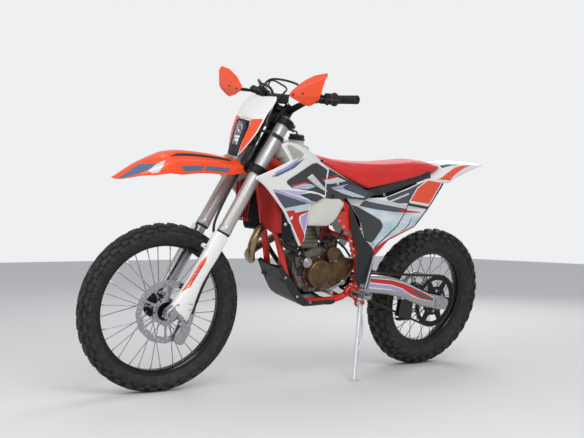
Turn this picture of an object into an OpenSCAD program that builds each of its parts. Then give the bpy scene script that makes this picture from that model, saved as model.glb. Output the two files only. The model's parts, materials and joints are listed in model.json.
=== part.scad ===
// Enduro dirt bike, parked on its side stand. Millimetres, +Z up, +X forwards, +Y to the rider's left.
// Every sub-part is drawn on an upright bike whose centre plane is Y = 0; parked() then leans it over.

/* [Stance] */
// Lean of the whole bike towards its side stand, degrees
lean = 11.8; // [9:0.1:14]
// Steering at rest, degrees to the left of straight ahead
steer = -5.7; // [-12:0.1:12]

/* [Chassis] */
// Distance between the axles
wheelbase = 1480; // [1380:1:1800]
// Angle of the steering axis from the vertical
rake = 26.5; // [25:0.1:28]
// Steering axis to the fork legs' centre plane
clamp_offset = 22; // [18:1:28]
// Fork legs' centre plane to the front axle
axle_lead = 35; // [28:1:42]
// Distance between the fork legs' centres
fork_spacing = 190; // [180:1:230]
// Radius of the frame's lower tubes
rail_r = 14; // [11:0.5:17]
// Radius of the frame's upper spars
spar_r = 17; // [14:0.5:19]

/* [Wheels] */
// Front tyre's outer diameter over the knobs
front_tyre_d = 690; // [600:1:830]
// Front tyre's width
front_tyre_w = 90; // [75:1:108]
// Rear tyre's outer diameter over the knobs
rear_tyre_d = 676; // [620:1:720]
// Rear tyre's width
rear_tyre_w = 124; // [100:1:128]
// Inner radius of the front rim
front_rim_r = 255; // [220:1:265]
// Inner radius of the rear rim
rear_rim_r = 216; // [190:1:225]
// Front brake disc's radius
front_disc_r = 130; // [108:1:140]
// Rear brake disc's radius
rear_disc_r = 110; // [92:1:120]
// Rear sprocket's pitch radius
sprocket_r = 126; // [105:1:140]

/* [Fork] */
// Radius of the fork's outer tubes
fork_outer_r = 27; // [24:0.5:28]
// Radius of the fork's inner tubes
fork_inner_r = 22; // [18:0.5:23]
// Length of the fork guards
fork_guard_len = 350; // [290:1:380]

/* [Controls] */
// Half of the handlebar's width, grip end to centre
bar_half = 405; // [370:1:430]
// Grip length
grip_len = 122; // [105:1:135]
// Grip radius
grip_r = 17; // [15.5:0.5:19]
// Radius of the bore in each bar end
bar_end_bore_r = 7; // [5.5:0.1:8.5]
// Length of each footpeg
peg_len = 100; // [80:1:120]

/* [Body] */
// Half of the seat's greatest width
seat_half_w = 108; // [90:1:120]
// Thickness of the plastic panels
panel_t = 4; // [3.2:0.1:5]
// Side stand foot's distance to the left of the wheels' line, on the ground
stand_reach = 282; // [235:1:340]
// Side stand tube's radius
stand_r = 9; // [7.5:0.5:11]

/* [Hidden] */
$fn = 48;

gap = 0.3;        // between solids that seat on each other
run_gap = 0.05;   // radial clearance of a bearing
swing_gap = 1;    // end clearance of a bearing
orange = "#e8431a";
white = "#f2f0ea";
red = "#d3211f";
black = "#1b1b1d";
steel = "#b9bcc0";
bronze = "#5a4630";

// Steering axis passes through this point of the centre plane, at the top face of the lower clamp.
head_x = 381;
head_z = 937;
head_tube_h = 192;
lower_clamp_h = 35;
top_clamp_h = 31;
top_clamp_w0 = head_tube_h + 2 * swing_gap;
stem_r = 20;

// Both tyres touch the ground although the whole bike leans and their crowns differ.
ground_lift = rear_tyre_w / 2 * (1 - cos(lean));
axle_u = clamp_offset + axle_lead;
front_crown_r = (front_tyre_d - front_tyre_w) / 2;
front_slope = cos(steer) * sin(lean) + sin(steer) * sin(rake) * cos(lean);
front_axle_z = (front_crown_r * sqrt(1 - front_slope * front_slope) + front_tyre_w / 2 - ground_lift
    + sin(lean) * axle_u * sin(steer)) / cos(lean) - axle_u * (cos(steer) - 1) * sin(rake);
axle_w = (front_axle_z - head_z - axle_u * sin(rake)) / cos(rake);
front_axle_x = head_x + axle_u * cos(rake) - axle_w * sin(rake);
rear_axle_x = front_axle_x - wheelbase;
rear_axle_z = rear_tyre_d / 2;
leg_y = fork_spacing / 2;

// The bounding box's centre, as seen from the middle of a 1480 mm wheelbase.
centre_x = 3;
centre_y = 255;

pivot = [-205, 0, 445];
rear_axle = [rear_axle_x, 0, rear_axle_z];
front_sprocket = [-150, 0, 455];
front_sprocket_r = 36;
chain_y = 76;
chain_w = 14;
chain_h = 6;
arm_y0 = 92;
arm_y1 = 120;
peg = [-165, 128, 420];
guard_y = 130;
stand_pivot = [-195, 150, 372];
axle_bore_r = 7;
axle_r = 10;
rear_axle_r = 12;
stand_pin_r = 6;
disc_t = 4;
sprocket_t = 6;
front_disc_y = 61;
rear_disc_y = 71;
bar_mid = [268, 0, 1185];

// Places a child, drawn on the upright bike, where the parked bike has it.
module parked() translate([-centre_x, -centre_y, ground_lift]) rotate([-lean, 0, 0]) children();
// Turns a child, drawn with the steering straight, about the steering axis.
module steered() on_head() rotate([0, 0, steer]) off_head() children();
// Coordinates along the steering axis: u forwards, y left, w up along the axis.
module on_head() translate([head_x, 0, head_z]) rotate([0, -rake, 0]) children();
module off_head() rotate([0, rake, 0]) translate([-head_x, 0, -head_z]) children();
module on_fork() on_head() rotate([0, 0, steer]) children();
module both() {
    children();
    mirror([0, 1, 0]) children();
}

// A round bar from p to q.
module rod(p, q, r) {
    d = q - p;
    h = norm(d);
    translate(p)
        rotate([0, acos(d[2] / h), atan2(d[1], d[0])])
            cylinder(h = h, r = r);
}
// Round bars through a list of points, with a slightly larger ball at each bend.
module bars(pts, r) {
    for (i = [0 : len(pts) - 2]) rod(pts[i], pts[i + 1], r);
    for (i = [1 : len(pts) - 2]) translate(pts[i]) sphere(r = r * 1.04);
}
// A plate with its outline in the XZ plane, from y0 to y1.
module plate(pts, y0, y1) translate([0, y1, 0]) rotate([90, 0, 0]) linear_extrude(y1 - y0) polygon(pts);
// A cylinder along Y.
module ycyl(c, r, y0, y1) translate([c[0], y0, c[2]]) rotate([-90, 0, 0]) cylinder(h = y1 - y0, r = r);

// The skin between rings of the same number of points.
function loft_sides(m, n) = [for (i = [0 : m - 2], j = [0 : n - 1])
    each [[i * n + j, i * n + (j + 1) % n, (i + 1) * n + (j + 1) % n],
          [i * n + j, (i + 1) * n + (j + 1) % n, (i + 1) * n + j]]];
// A closed solid through rings, each of them convex enough to be capped by one face.
module loft(rings) {
    n = len(rings[0]);
    m = len(rings);
    caps = [[for (j = [n - 1 : -1 : 0]) j], [for (j = [0 : n - 1]) (m - 1) * n + j]];
    polyhedron([for (ring = rings) each ring], concat(loft_sides(m, n), caps), convexity = 6);
}
// A thin curved sheet through rings that go out along one face and back along the other.
module sheet(rings) {
    n = len(rings[0]);
    m = len(rings);
    caps = [for (j = [0 : n / 2 - 2]) let (k = n - 1 - j, e = (m - 1) * n)
        each [[j, k, k - 1], [j, k - 1, j + 1], [e + j, e + j + 1, e + k - 1], [e + j, e + k - 1, e + k]]];
    polyhedron([for (ring = rings) each ring], concat(loft_sides(m, n), caps), convexity = 6);
}
function unit(v) = v / norm(v);
// A Catmull-Rom curve through pts, k points to each span.
function curve(pts, k) = concat([for (i = [0 : len(pts) - 2], j = [0 : k - 1])
    let (p0 = pts[max(i - 1, 0)], p1 = pts[i], p2 = pts[i + 1], p3 = pts[min(i + 2, len(pts) - 1)], t = j / k)
        0.5 * (2 * p1 + (p2 - p0) * t + (2 * p0 - 5 * p1 + 4 * p2 - p3) * t * t
            + (3 * p1 - p0 - 3 * p2 + p3) * t * t * t)], [pts[len(pts) - 1]]);
function tangent(p, i) = unit(p[min(i + 1, len(p) - 1)] - p[max(i - 1, 0)]);
// A round tube's rings along path; side is a direction that the path never takes.
function tube_rings(path, r, sides, side) = [for (i = [0 : len(path) - 1])
    let (t = tangent(path, i), a = unit(cross(side, t)), b = cross(t, a))
        [for (j = [0 : sides - 1]) path[i] + r * (a * cos(360 * j / sides) + b * sin(360 * j / sides))]];
module tube(path, r, sides = 12, side = [0, 0, 1]) loft(tube_rings(path, r, sides, side));

// ---------------------------------------------------------------- frame
spar = [[338, 20, 985], [180, 80, 905], [-50, 100, 806], [-125, 108, 716], [-168, 112, 600], [-188, 112, 445]];
cradle = [[-188, 112, 445], [-158, 100, 410], [-107, 90, 378], [70, 85, 372], [120, 78, 395],
          [175, 68, 470], [236, 50, 637], [330, 16, 868]];

module frame() color(orange) difference() {
    union() {
        on_head() translate([0, 0, swing_gap]) cylinder(h = head_tube_h, r = 30);
        both() {
            bars(spar, spar_r);
            bars(cradle, rail_r);
            rod([-165, 98, 418], [-165, peg[1] - gap, 418], 15);
        }
        rod([180, -80, 905], [180, 80, 905], 12);
        rod([-50, -100, 806], [-50, 100, 806], 12);
        rod([-128, -96, 384], [-128, 96, 384], 12);
        rod([-165, -112, 640], [-165, 112, 640], 12);
        both() rod([238, 46, 662], [240, rad_mid[1] - rad_core[1] / 2 - 1, 672], 8);
        ycyl(pivot, 10, -112, 112);
        ycyl(pivot, 19, 97, 125);
        ycyl(pivot, 19, -125, -97);
        stand_bracket();
    }
    on_head() translate([0, 0, -20]) cylinder(h = head_tube_h + 40, r = stem_r + run_gap);
}

sub_r = 9;
sub_y = 88;
module subframe() color(black) both() rod([-90, sub_y, 786], [-560, sub_y, 909], sub_r);

// ---------------------------------------------------------------- engine
module engine() color("#4c4a47") {
    difference() {
        union() {
            plate([[138, 560], [143, 500], [106, 428], [60, 402], [-95, 402], [-128, 428], [-165, 470],
                   [-168, 540], [-110, 600], [20, 612]], -61, 61);
            plate([[8, 590], [140, 560], [150, 640], [150, 812], [10, 812], [-5, 700]], -60, 60);
            rod([0, 0, 735], [-130, 0, 790], 27);
            ycyl([-80, 0, 520], 24, -61, 68);
            ycyl([86, 0, 545], 22, 60, 92);
        }
        for (i = [0 : 4]) translate([-30, -80, 622 + 20 * i]) cube([34, 160, 7]);
        for (i = [0 : 4]) translate([142, -80, 600 + 20 * i]) cube([20, 160, 7]);
    }
    ycyl(front_sprocket, front_sprocket_r - chain_h - 1, chain_y - 3, chain_y + 3);
    ycyl(front_sprocket, 12, 61, chain_y - 3);
}

module engine_covers() color(bronze) {
    difference() {
        union() {
            ycyl([22, 0, 496], 63, 61 + gap, 106);
            ycyl([22, 0, 496], 46, 100, 112);
            ycyl([-38, 0, 580], 29, 61 + gap, 98);
            plate([[-20, 560], [-100, 574], [-172, 556], [-186, 520], [-150, 470], [-110, 432], [-30, 440]],
                  84.5, 94);
            ycyl([-20, 0, 500], 20, 61 + gap, 90);
        }
        ycyl([22, 0, 496], 12, 108, 120);
        ycyl([86, 0, 545], 22 + gap, 50, 120);
    }
    ycyl([0, 0, 496], 78, -104, -61 - gap);
    ycyl([0, 0, 496], 60, -112, -103);
    ycyl([92, 0, 470], 34, -92, -61 - gap);
}

// The header's loop stands off the front tyre: its bends keep their share of the way from root to reach.
header_r = 18;
header_root_x = 205;
header_reach_x = front_axle_x - front_tyre_d / 2 - header_r - 36;
function header_x(share) = header_root_x + share * (header_reach_x - header_root_x);
header = [[151, 0, 700], [205, 0, 702], [header_x(0.37), 0, 700], [header_x(0.75), 10, 676], [header_x(1), 18, 622],
          [header_x(0.96), 4, 566], [header_x(0.68), -42, 532], [header_x(0.36), -122, 545], [150, -150, 585],
          [20, -160, 635], [-150, -162, 668], [-300, -166, 696], [-338, -170, 704]];
module exhaust_header() color("#8a6f4d") tube(curve(header, 4), header_r, 14, [0.1, 0.3, 1]);

muffler_a = [-340, -170, 705];
muffler_b = [-610, -174, 760];
module muffler() color("#9a9a9c") {
    d = unit(muffler_b - muffler_a);
    rod(muffler_a + d * 40, muffler_b, 46);
    difference() {
        rod(muffler_a, muffler_a + d * 41, 30);
        rod(muffler_a - d * 4, muffler_a + d * 4, header_r + 1);
    }
    rod(muffler_b, muffler_b + d * 26, 28);
    rod([-470, -130, 745], [-470, -118, 750], 10);
}

// ---------------------------------------------------------------- cooling
// The radiators lean with the frame's downtubes, and their outer edges stand forward.
rad_mid = [276, 120, 758];
rad_tilt = 14;
rad_yaw = 20;
rad_core = [34, 80, 190];
rad_tank_h = 12;
guard_d = 12;
rad_out = rad_mid[1] + rad_core[0] / 2 * sin(rad_yaw) + rad_core[1] / 2 * cos(rad_yaw);
module at_radiator() translate(rad_mid) rotate([0, rad_tilt, 0]) rotate([0, 0, -rad_yaw]) children();
module radiators() color(black) both() at_radiator() {
    cube(rad_core, center = true);
    for (e = [-1, 1]) translate([0, 0, e * (rad_core[2] + rad_tank_h) / 2])
        cube([rad_core[0] - 4, rad_core[1], rad_tank_h], center = true);
}
module radiator_guards() color(red) both() at_radiator() translate([rad_core[0] / 2 + gap, 0, 0]) {
    for (i = [-2.5 : 2.5]) translate([guard_d / 2, 0, 36 * i]) rotate([0, 15, 0])
        cube([3, rad_core[1], 33], center = true);
    for (e = [-1, 1]) translate([guard_d / 2, e * (rad_core[1] / 2 + 2), 0])
        cube([guard_d, 5, rad_core[2] + 20], center = true);
}

// ---------------------------------------------------------------- tank, seat and panels
seat_floor = [[124, 1000], [-128, 889], [-434, 938], [-600, 974]];
function floor_z(x) = lookup(x, [for (p = [3 : -1 : 0]) seat_floor[p]]);

cap_at = [172, 0, 1064];
module fuel_tank() color("#e6e3d8") difference() {
    union() {
        plate([[286, 1056], [286, 1000], [250, 975], [127, 975], [134, 1052], [210, 1062]], -50, 50);
        translate([cap_at[0], 0, 1030]) cylinder(h = cap_at[2] - 1030, r = 33);
        plate([[242, 1012], [160, 1012], [124, floor_z(124) - gap], [-45, floor_z(-45) - gap],
               [-45, 850], [-21, 822], [19, 745], [47, 724], [171, 723], [172, 817], [200, 880], [242, 935]],
              -134, 134);
        both() plate([[95, 842], [16, 842], [-21, 820], [19, 745], [47, 724], [166, 723], [168, 817]], 132, 148);
    }
    plate([[-60, 690], [-60, 832], [75, 882], [180, 930], [262, 965], [262, 690]], -118, 118);
}

module tank_cap() color(black) {
    translate(cap_at + [0, 0, gap]) cylinder(h = 6, r = 36);
    translate(cap_at + [0, 0, 5]) cylinder(h = 17, r = 31);
}

shroud_edge = [[474, 928], [410, 953], [321, 996], [253, 1030], [205, 1034], [122, 975], [-27, 921],
               [-180, 868], [-194, 857], [-143, 834], [-42, 842], [104, 850], [172, 822], [171, 725],
               [169, 656], [188, 634], [248, 707], [310, 783], [395, 860]];
shroud_front_y = 182;
shroud_rear_y = 130;
shroud_slope = atan((shroud_front_y - shroud_rear_y) / (shroud_edge[0][0] - shroud_edge[8][0]));
function shroud_y(x) = shroud_rear_y + (x - shroud_edge[8][0]) * tan(shroud_slope);
module shroud_boss(c, y0) ycyl([c[0], 0, c[1]], 9, y0, shroud_y(c[0]) + 1);
module shrouds() color(white) both() {
    translate([shroud_edge[8][0], shroud_rear_y, 0])
        rotate([0, 0, shroud_slope])
            translate([-shroud_edge[8][0], 0, 0])
                plate(shroud_edge, 0, panel_t);
    shroud_boss([40, 905], 134 + gap);
    shroud_boss([rad_mid[0] - 4, rad_mid[2]], rad_out + gap);
}

seat_top = [[124, 1016], [60, 1000], [-40, 986], [-150, 981], [-290, 984], [-420, 996], [-520, 1006],
            [-610, 1006], [-655, 996]];
seat_half = [[124, 0.46], [60, 0.7], [-40, 0.86], [-200, 0.97], [-380, 1], [-520, 0.96], [-610, 0.8], [-655, 0.55]];
function rising(t) = [for (i = [len(t) - 1 : -1 : 0]) t[i]];
function seat_ring(x) = let (
        z0 = x < -600 ? 974 - (x + 600) * 0.25 : floor_z(x),
        z1 = lookup(x, rising(seat_top)),
        hw = lookup(x, rising(seat_half)) * seat_half_w)
    concat([[x, -hw + 4, z0], [x, hw - 4, z0]],
           [for (a = [0 : 15 : 180]) [x, hw * sign(cos(a)) * pow(abs(cos(a)), 0.55),
                                      z0 + 6 + (z1 - z0 - 6) * pow(sin(a), 0.62)]]);
module seat() color(red) loft([for (x = [124, 90, 40, -20, -80, -128, -200, -280, -360, -434, -520, -580, -620, -645, -655])
    seat_ring(x)]);

panel_edge = [[-66, 833], [-150, 836], [-276, 846], [-542, 938], [-649, 927], [-577, 805], [-499, 714],
              [-343, 640], [-266, 530], [-222, 625], [-154, 738], [-76, 823]];
panel_y = 106;
module side_panels() color(white) both() {
    plate(panel_edge, panel_y, panel_y + panel_t);
    ycyl([-300, 0, 842], 7, sub_y + sub_r + gap, panel_y + 1);
}

fender_top = [[-520, 944], [-600, 968], [-650, 983], [-659, 985], [-672, 1003], [-710, 1010], [-800, 1014], [-900, 1012], [-945, 1006]];
fender_edge = [[-520, 915], [-600, 915], [-690, 905], [-722, 930], [-800, 962], [-900, 992], [-945, 1000]];
fender_half = [[-520, panel_y - gap], [-600, panel_y - gap], [-700, 98], [-800, 82], [-900, 58], [-945, 34]];
function arch(c, hw, z1, z0, t) = concat(
    [for (a = [0 : 20 : 180]) [c, -hw * cos(a), z0 + (z1 - z0) * pow(sin(a), 0.5)]],
    [for (a = [180 : -20 : 0]) [c, (t - hw) * cos(a), z0 - t * sin(a) + (z1 - z0) * pow(sin(a), 0.5)]]);
module rear_fender() color(white) {
    sheet([for (x = [-945, -925, -900, -850, -800, -722, -690, -672, -659, -650, -600, -520])
        arch(x, lookup(x, rising(fender_half)), lookup(x, rising(fender_top)), lookup(x, rising(fender_edge)), panel_t)]);
}

module airbox() color(black)
    plate([[-262, 700], [-262, 862], [-480, 915], [-560, 905], [-520, 800], [-450, 715]],
          sub_r + gap - sub_y, sub_y - sub_r - gap);

skid_half = 109;
module skid_plate() color(black) {
    plate([[219, 545], [190, 462], [134, 385], [74, 356], [-80, 361], [-80, 356], [75, 350], [139, 380],
           [196, 458], [226, 543]], -skid_half, skid_half);
    both() plate([[190, 462], [134, 385], [74, 356], [-40, 360], [-40, 372], [68, 392], [112, 410], [160, 478]],
                 skid_half - panel_t, skid_half);
}

// ---------------------------------------------------------------- foot controls
module footpegs() color(steel) both() {
    translate([peg[0] - 26, peg[1], peg[2] - 14]) difference() {
        cube([52, peg_len, 22]);
        translate([7, 18, -1]) cube([38, peg_len - 26, 30]);
    }
    for (i = [0 : 6]) for (x = [-24, 18])
        translate([peg[0] + x, peg[1] + 6 + i * (peg_len - 16) / 6, peg[2] + 7.5]) cube([6, 5, 6]);
}

module foot_controls() color(steel) {
    rod([-96, 94 + gap, 462], [-96, 124, 462], 8);
    rod([-96, 120, 462], [0, 134, 432], 6);
    rod([0, 126, 432], [0, 168, 430], 8);
    rod([-128, -109, 384], [-128, -140, 384], 8);
    rod([-128, -134, 384], [20, -138, 408], 6);
    translate([6, -166, 402]) cube([30, 36, 9]);
}

// ---------------------------------------------------------------- rear end
arm_edge = concat(
    [[-238, 484], [-380, 476], [-487, 452]],
    [[rear_axle_x + 100, rear_axle_z + 54], [rear_axle_x - 30, rear_axle_z + 30], [rear_axle_x - 58, rear_axle_z + 8],
     [rear_axle_x - 50, rear_axle_z - 26], [rear_axle_x, rear_axle_z - 36], [rear_axle_x + 140, rear_axle_z - 6]],
    [[-485, 372], [-380, 394], [-238, 410]]);
module swingarm() color(steel) difference() {
    union() {
        both() {
            plate(arm_edge, arm_y0, arm_y1);
            plate([[-180, 462], [-200, 470], [-300, 462], [-300, 424], [-200, 420], [-180, 428]], 84, 93);
        }
        translate([-345, -arm_y0 - 1, 412]) cube([85, 2 * arm_y0 + 2, 56]);
        translate([-320, -20, 466]) cube([40, 40, 14]);
        ycyl(rear_axle, rear_axle_r, -arm_y1 - 8, arm_y1 + 8);
        ycyl(rear_axle, 20, arm_y1 - 1, arm_y1 + 5);
        ycyl(rear_axle, 20, -arm_y1 - 5, -arm_y1 + 1);
    }
    ycyl(pivot, 10 + gap, -130, 130);
    ycyl(rear_axle, axle_bore_r, -150, 150);
}

module chain_loop(extra) hull() {
    translate([front_sprocket[0], front_sprocket[2]]) circle(r = front_sprocket_r + extra, $fn = 96);
    translate([rear_axle_x, rear_axle_z]) circle(r = sprocket_r + extra, $fn = 160);
}
module chain() color("#2b2622") translate([0, chain_y + chain_w / 2, 0]) rotate([90, 0, 0])
    linear_extrude(chain_w) difference() {
        chain_loop(chain_h);
        chain_loop(-chain_h);
    }

module chain_guide() color(black) {
    x0 = rear_axle_x + 150;
    x1 = rear_axle_x + 240;
    difference() {
        plate([[x0, 250], [x0, 352], [x1, 352], [x1, 270]], 64, arm_y0 - gap);
        translate([0, chain_y + chain_w / 2 + 1, 0]) rotate([90, 0, 0])
            linear_extrude(chain_w + 2) difference() {
                chain_loop(chain_h + 1);
                chain_loop(-chain_h - 1);
            }
    }
}

shock_top = [-178, 0, 806];
shock_foot = [-300, 0, 484];
module rear_shock() color(steel) {
    d = unit(shock_foot - shock_top);
    ycyl(shock_top, 15, -22, 22);
    rod(shock_top, shock_foot, 11);
    rod(shock_top + d * 18, shock_top + d * 130, 24);
    for (i = [0 : 9]) rod(shock_top + d * (136 + 17 * i), shock_top + d * (144 + 17 * i), 33);
    ycyl(shock_foot + [0, 0, 14], 16, -18, 18);
}

module frame_guards() color(black) both()
    plate([[-62, 802], [-96, 815], [-200, 690], [-262, 610], [-268, 552], [-250, 448], [-196, 448], [-164, 470],
           [-150, 592], [-104, 728]], guard_y, guard_y + panel_t);

module rear_caliper() color("#26262a") difference() {
    translate([rear_axle_x + 62, -arm_y0 + gap, rear_axle_z - 4]) cube([86, 34, 56]);
    ycyl(rear_axle, rear_disc_r + 5, -77, -65);
    ycyl(rear_axle, 66, -100, 0);
}

module stand_spring() color(steel) {
    top = [-240, 141, 586];
    rod([top[0], guard_y + panel_t + gap, top[2]], [top[0], 146, top[2]], 4);
    rod(top, [-207, 146, 400], 4.5);
}

// ---------------------------------------------------------------- side stand
function ground_point(x, y, z) = [x, y * cos(lean) - (z - ground_lift) * sin(lean), y * sin(lean) + (z - ground_lift) * cos(lean)];
stand_foot = ground_point(-110, stand_reach, 8);
stand_down = unit(stand_foot - stand_pivot);
stand_back = unit([-1, 0, 0.1]);
stand_axis = unit(cross(stand_down, stand_back));
module along_stand_axis() translate(stand_pivot)
    rotate([0, acos(stand_axis[2]), atan2(stand_axis[1], stand_axis[0])]) children();
module stand_bracket() {
    along_stand_axis() {
        translate([0, 0, -28]) cylinder(h = 16, r = 15);
        translate([0, 0, -20]) cylinder(h = 33, r = stand_pin_r);
        translate([0, 0, 11 + swing_gap]) cylinder(h = 4, r = 10);
    }
    rod(stand_pivot - 21 * stand_axis, [-165, 104, 410], 8);
}
module side_stand() color("#d8d9da") {
    difference() {
        union() {
            along_stand_axis() translate([0, 0, -11]) cylinder(h = 22, r = 15);
            rod(stand_pivot + 8 * stand_down, stand_foot, stand_r);
            bow = stand_pivot + 90 * stand_down + 20 * stand_back;
            bars([stand_pivot + 40 * stand_down, bow, stand_pivot + 170 * stand_down + 22 * stand_back,
                  stand_pivot + 235 * stand_down], 5);
            translate(stand_foot) rotate([lean, 0, 0]) translate([0, 0, -8]) cylinder(h = 7, r = 20);
            translate(stand_foot) sphere(r = 10);
        }
        along_stand_axis() translate([0, 0, -40]) cylinder(h = 80, r = stand_pin_r + run_gap);
        translate(stand_foot) rotate([lean, 0, 0]) translate([-40, -40, -30]) cube([80, 80, 22]);
    }
}

// ---------------------------------------------------------------- fork and steering
guard_w1 = axle_w + 376;
outer_w0 = axle_w + 385;
module clamp_plate(w0, h, r) translate([0, 0, w0]) difference() {
    union() {
        for (s = [-1, 1]) translate([clamp_offset, s * leg_y, 0]) cylinder(h = h, r = r);
        translate([-22, -leg_y, 0]) cube([clamp_offset + 34, fork_spacing, h]);
        cylinder(h = h, r = 34);
    }
    for (s = [-1, 1]) translate([clamp_offset, s * leg_y, -1]) cylinder(h = h + 2, r = fork_outer_r + gap);
}
bar_u = (bar_mid[0] - head_x) * cos(rake) + (bar_mid[2] - head_z) * sin(rake);
bar_w = -(bar_mid[0] - head_x) * sin(rake) + (bar_mid[2] - head_z) * cos(rake);
bar_r = 14;
module triple_clamps() color(black) on_fork() difference() {
    union() {
        clamp_plate(-lower_clamp_h, lower_clamp_h, fork_outer_r + 13);
        clamp_plate(top_clamp_w0, top_clamp_h, fork_outer_r + 11);
        translate([0, 0, -lower_clamp_h + 1]) cylinder(h = top_clamp_w0 + lower_clamp_h + 4, r = stem_r);
        translate([0, 0, top_clamp_w0 + top_clamp_h - 1]) cylinder(h = 10, r = 16);
        for (s = [-1, 1]) translate([bar_u - 20, s * 48 - 14, top_clamp_w0 + top_clamp_h - 1])
            cube([40, 28, bar_w - top_clamp_w0 - top_clamp_h + 22]);
    }
    translate([bar_u, -100, bar_w]) rotate([-90, 0, 0]) cylinder(h = 200, r = bar_r + gap);
}

lug_y0 = leg_y - 20;
lug_y1 = leg_y + 23;
module fork_legs() color(steel) on_fork() both() {
    difference() {
        union() {
            translate([clamp_offset, leg_y, outer_w0])
                cylinder(h = top_clamp_w0 + top_clamp_h + 5 - outer_w0, r = fork_outer_r);
            translate([clamp_offset, leg_y, axle_w + 20]) cylinder(h = 370, r = fork_inner_r);
            translate([axle_u, lug_y0, axle_w]) rotate([-90, 0, 0]) cylinder(h = lug_y1 - lug_y0, r = 25);
            translate([clamp_offset - 24, lug_y0, axle_w - 12]) cube([axle_u - clamp_offset + 30, lug_y1 - lug_y0 - 2, 58]);
        }
        translate([axle_u, 0, axle_w]) rotate([-90, 0, 0]) cylinder(h = 200, r = axle_r + gap);
    }
}

module front_axle() color(steel) on_fork() translate([axle_u, 0, axle_w]) rotate([-90, 0, 0]) difference() {
    union() {
        translate([0, 0, -lug_y1 - 8]) cylinder(h = 2 * lug_y1 + 16, r = axle_r);
        translate([0, 0, lug_y1 + gap]) cylinder(h = 8, r = 16);
        translate([0, 0, -lug_y1 - 8 - gap]) cylinder(h = 8, r = 16);
    }
    translate([0, 0, -200]) cylinder(h = 400, r = axle_bore_r);
}

fork_guard_edge = [[-6, axle_w + 28], [10, axle_w + 130], [0, guard_w1 - 14], [22, guard_w1], [60, guard_w1 - 2],
                   [64, guard_w1 - 60], [62, guard_w1 - fork_guard_len + 60], [70, axle_w + 36], [50, axle_w + 26]];
module fork_guards() color(white) on_fork() both() {
    plate(fork_guard_edge, lug_y1 + 1, lug_y1 + 1 + panel_t);
    translate([52, leg_y - 18, guard_w1 - fork_guard_len + 80]) cube([panel_t, 46, fork_guard_len - 90]);
    rod([60, lug_y1 - 4, axle_w + 296], [92, lug_y1 - 4, axle_w + 300], 8);
    rod([clamp_offset, leg_y + fork_inner_r + gap, axle_w + 200], [clamp_offset, lug_y1 + 2, axle_w + 200], 8);
}

bar_a = [bar_mid[0], 66, bar_mid[2]];
bar_b = [238, 170, 1240];
bar_c = [183, bar_half, 1257];
bar_d = unit(bar_c - bar_b);
module handlebar() color(black) steered() difference() {
    union() {
        rod([bar_a[0], -bar_a[1], bar_a[2]], bar_a, bar_r);
        both() {
            rod(bar_a, bar_b, bar_r);
            translate(bar_a) sphere(r = bar_r * 1.04);
            translate(bar_b) sphere(r = bar_r * 1.04);
            rod(bar_b, bar_c, 11.1);
        }
    }
    both() rod(bar_c - 90 * bar_d, bar_c + 2 * bar_d, bar_end_bore_r);
}
module grips() color(black) steered() both() difference() {
    union() {
        rod(bar_c - grip_len * bar_d, bar_c, grip_r);
        rod(bar_c - grip_len * bar_d, bar_c - (grip_len - 6) * bar_d, 27);
    }
    rod(bar_c - (grip_len + 2) * bar_d, bar_c + 2 * bar_d, 11.1 + gap);
}

perch = bar_b + 62 * bar_d;
module levers() color(black) steered() both() {
    difference() {
        union() {
            rod(perch - 12 * bar_d, perch + 12 * bar_d, 18);
            rod(perch, perch + [52, -6, 8], 9);
            bars([perch + [50, -8, 8], perch + [52, 60, 4], perch + [36, 176, 2]], 5);
        }
        rod(perch - 30 * bar_d, perch + 30 * bar_d, 11.1 + gap);
    }
}

// Each handguard station is [y, low z, high z, low x, high x].
guard_stations = [[192, 1240, 1262, 362, 358], [240, 1228, 1292, 366, 344], [300, 1222, 1322, 362, 330],
                  [360, 1234, 1334, 356, 324], [412, 1252, 1338, 346, 316]];
function guard_ring(s) = let (t = panel_t)
    [[s[3], s[0], s[1]], [(s[3] + s[4]) / 2 + 8, s[0], (s[1] + s[2]) / 2], [s[4], s[0], s[2]],
     [s[4] - t, s[0], s[2]], [(s[3] + s[4]) / 2 + 8 - t, s[0], (s[1] + s[2]) / 2], [s[3] - t, s[0], s[1]]];
module handguards() color(orange) steered() both() {
    sheet([for (s = guard_stations) guard_ring(s)]);
    g = bar_b + 22 * bar_d;
    difference() {
        union() {
            rod(g - 8 * bar_d, g + 8 * bar_d, 17);
            rod(g + [14, 0, 2], [362, 212, 1252], 6);
        }
        rod(g - 30 * bar_d, g + 30 * bar_d, 11.1 + gap);
        translate([358.6, 180, 1200]) cube([40, 60, 100]);
    }
}

// Each front fender station is [x, half width, crown z, edge z].
mud_stations = [[462, 66, 962, 915], [500, 70, 970, 908], [560, 74, 976, 906], [640, 80, 981, 908],
                [740, 86, 981, 896], [770, 88, 978, 898], [830, 84, 958, 894], [900, 68, 925, 884], [960, 42, 885, 866], [988, 20, 866, 858]];
// Its tongue bolts on under the lower clamp.
module front_fender() color(orange) {
    steered() sheet([for (s = mud_stations) arch(s[0], s[1], s[2], s[3], panel_t)]);
    on_fork() translate([-20, -32, -lower_clamp_h - gap - 6]) cube([157, 64, 6]);
}

// Each plate station is [z, centre x, half width, sweep back at the edge].
plate_stations = [[976, 482, 42, 4], [1010, 477, 58, 8], [1050, 468, 78, 14], [1090, 454, 98, 16], [1130, 436, 112, 14],
                  [1170, 414, 121, 10], [1205, 389, 121, 8], [1240, 364, 106, 6]];
function plate_ring(s) = let (t = panel_t) concat(
    [for (a = [1 : -0.25 : -1]) [s[1] - s[3] * a * a, a * s[2], s[0]]],
    [for (a = [-1 : 0.25 : 1]) [s[1] - t - s[3] * a * a, a * s[2], s[0]]]);
lamp_low = 996;
lamp_high = 1128;
lamp_half = 44;
strap_w = 150;
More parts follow.
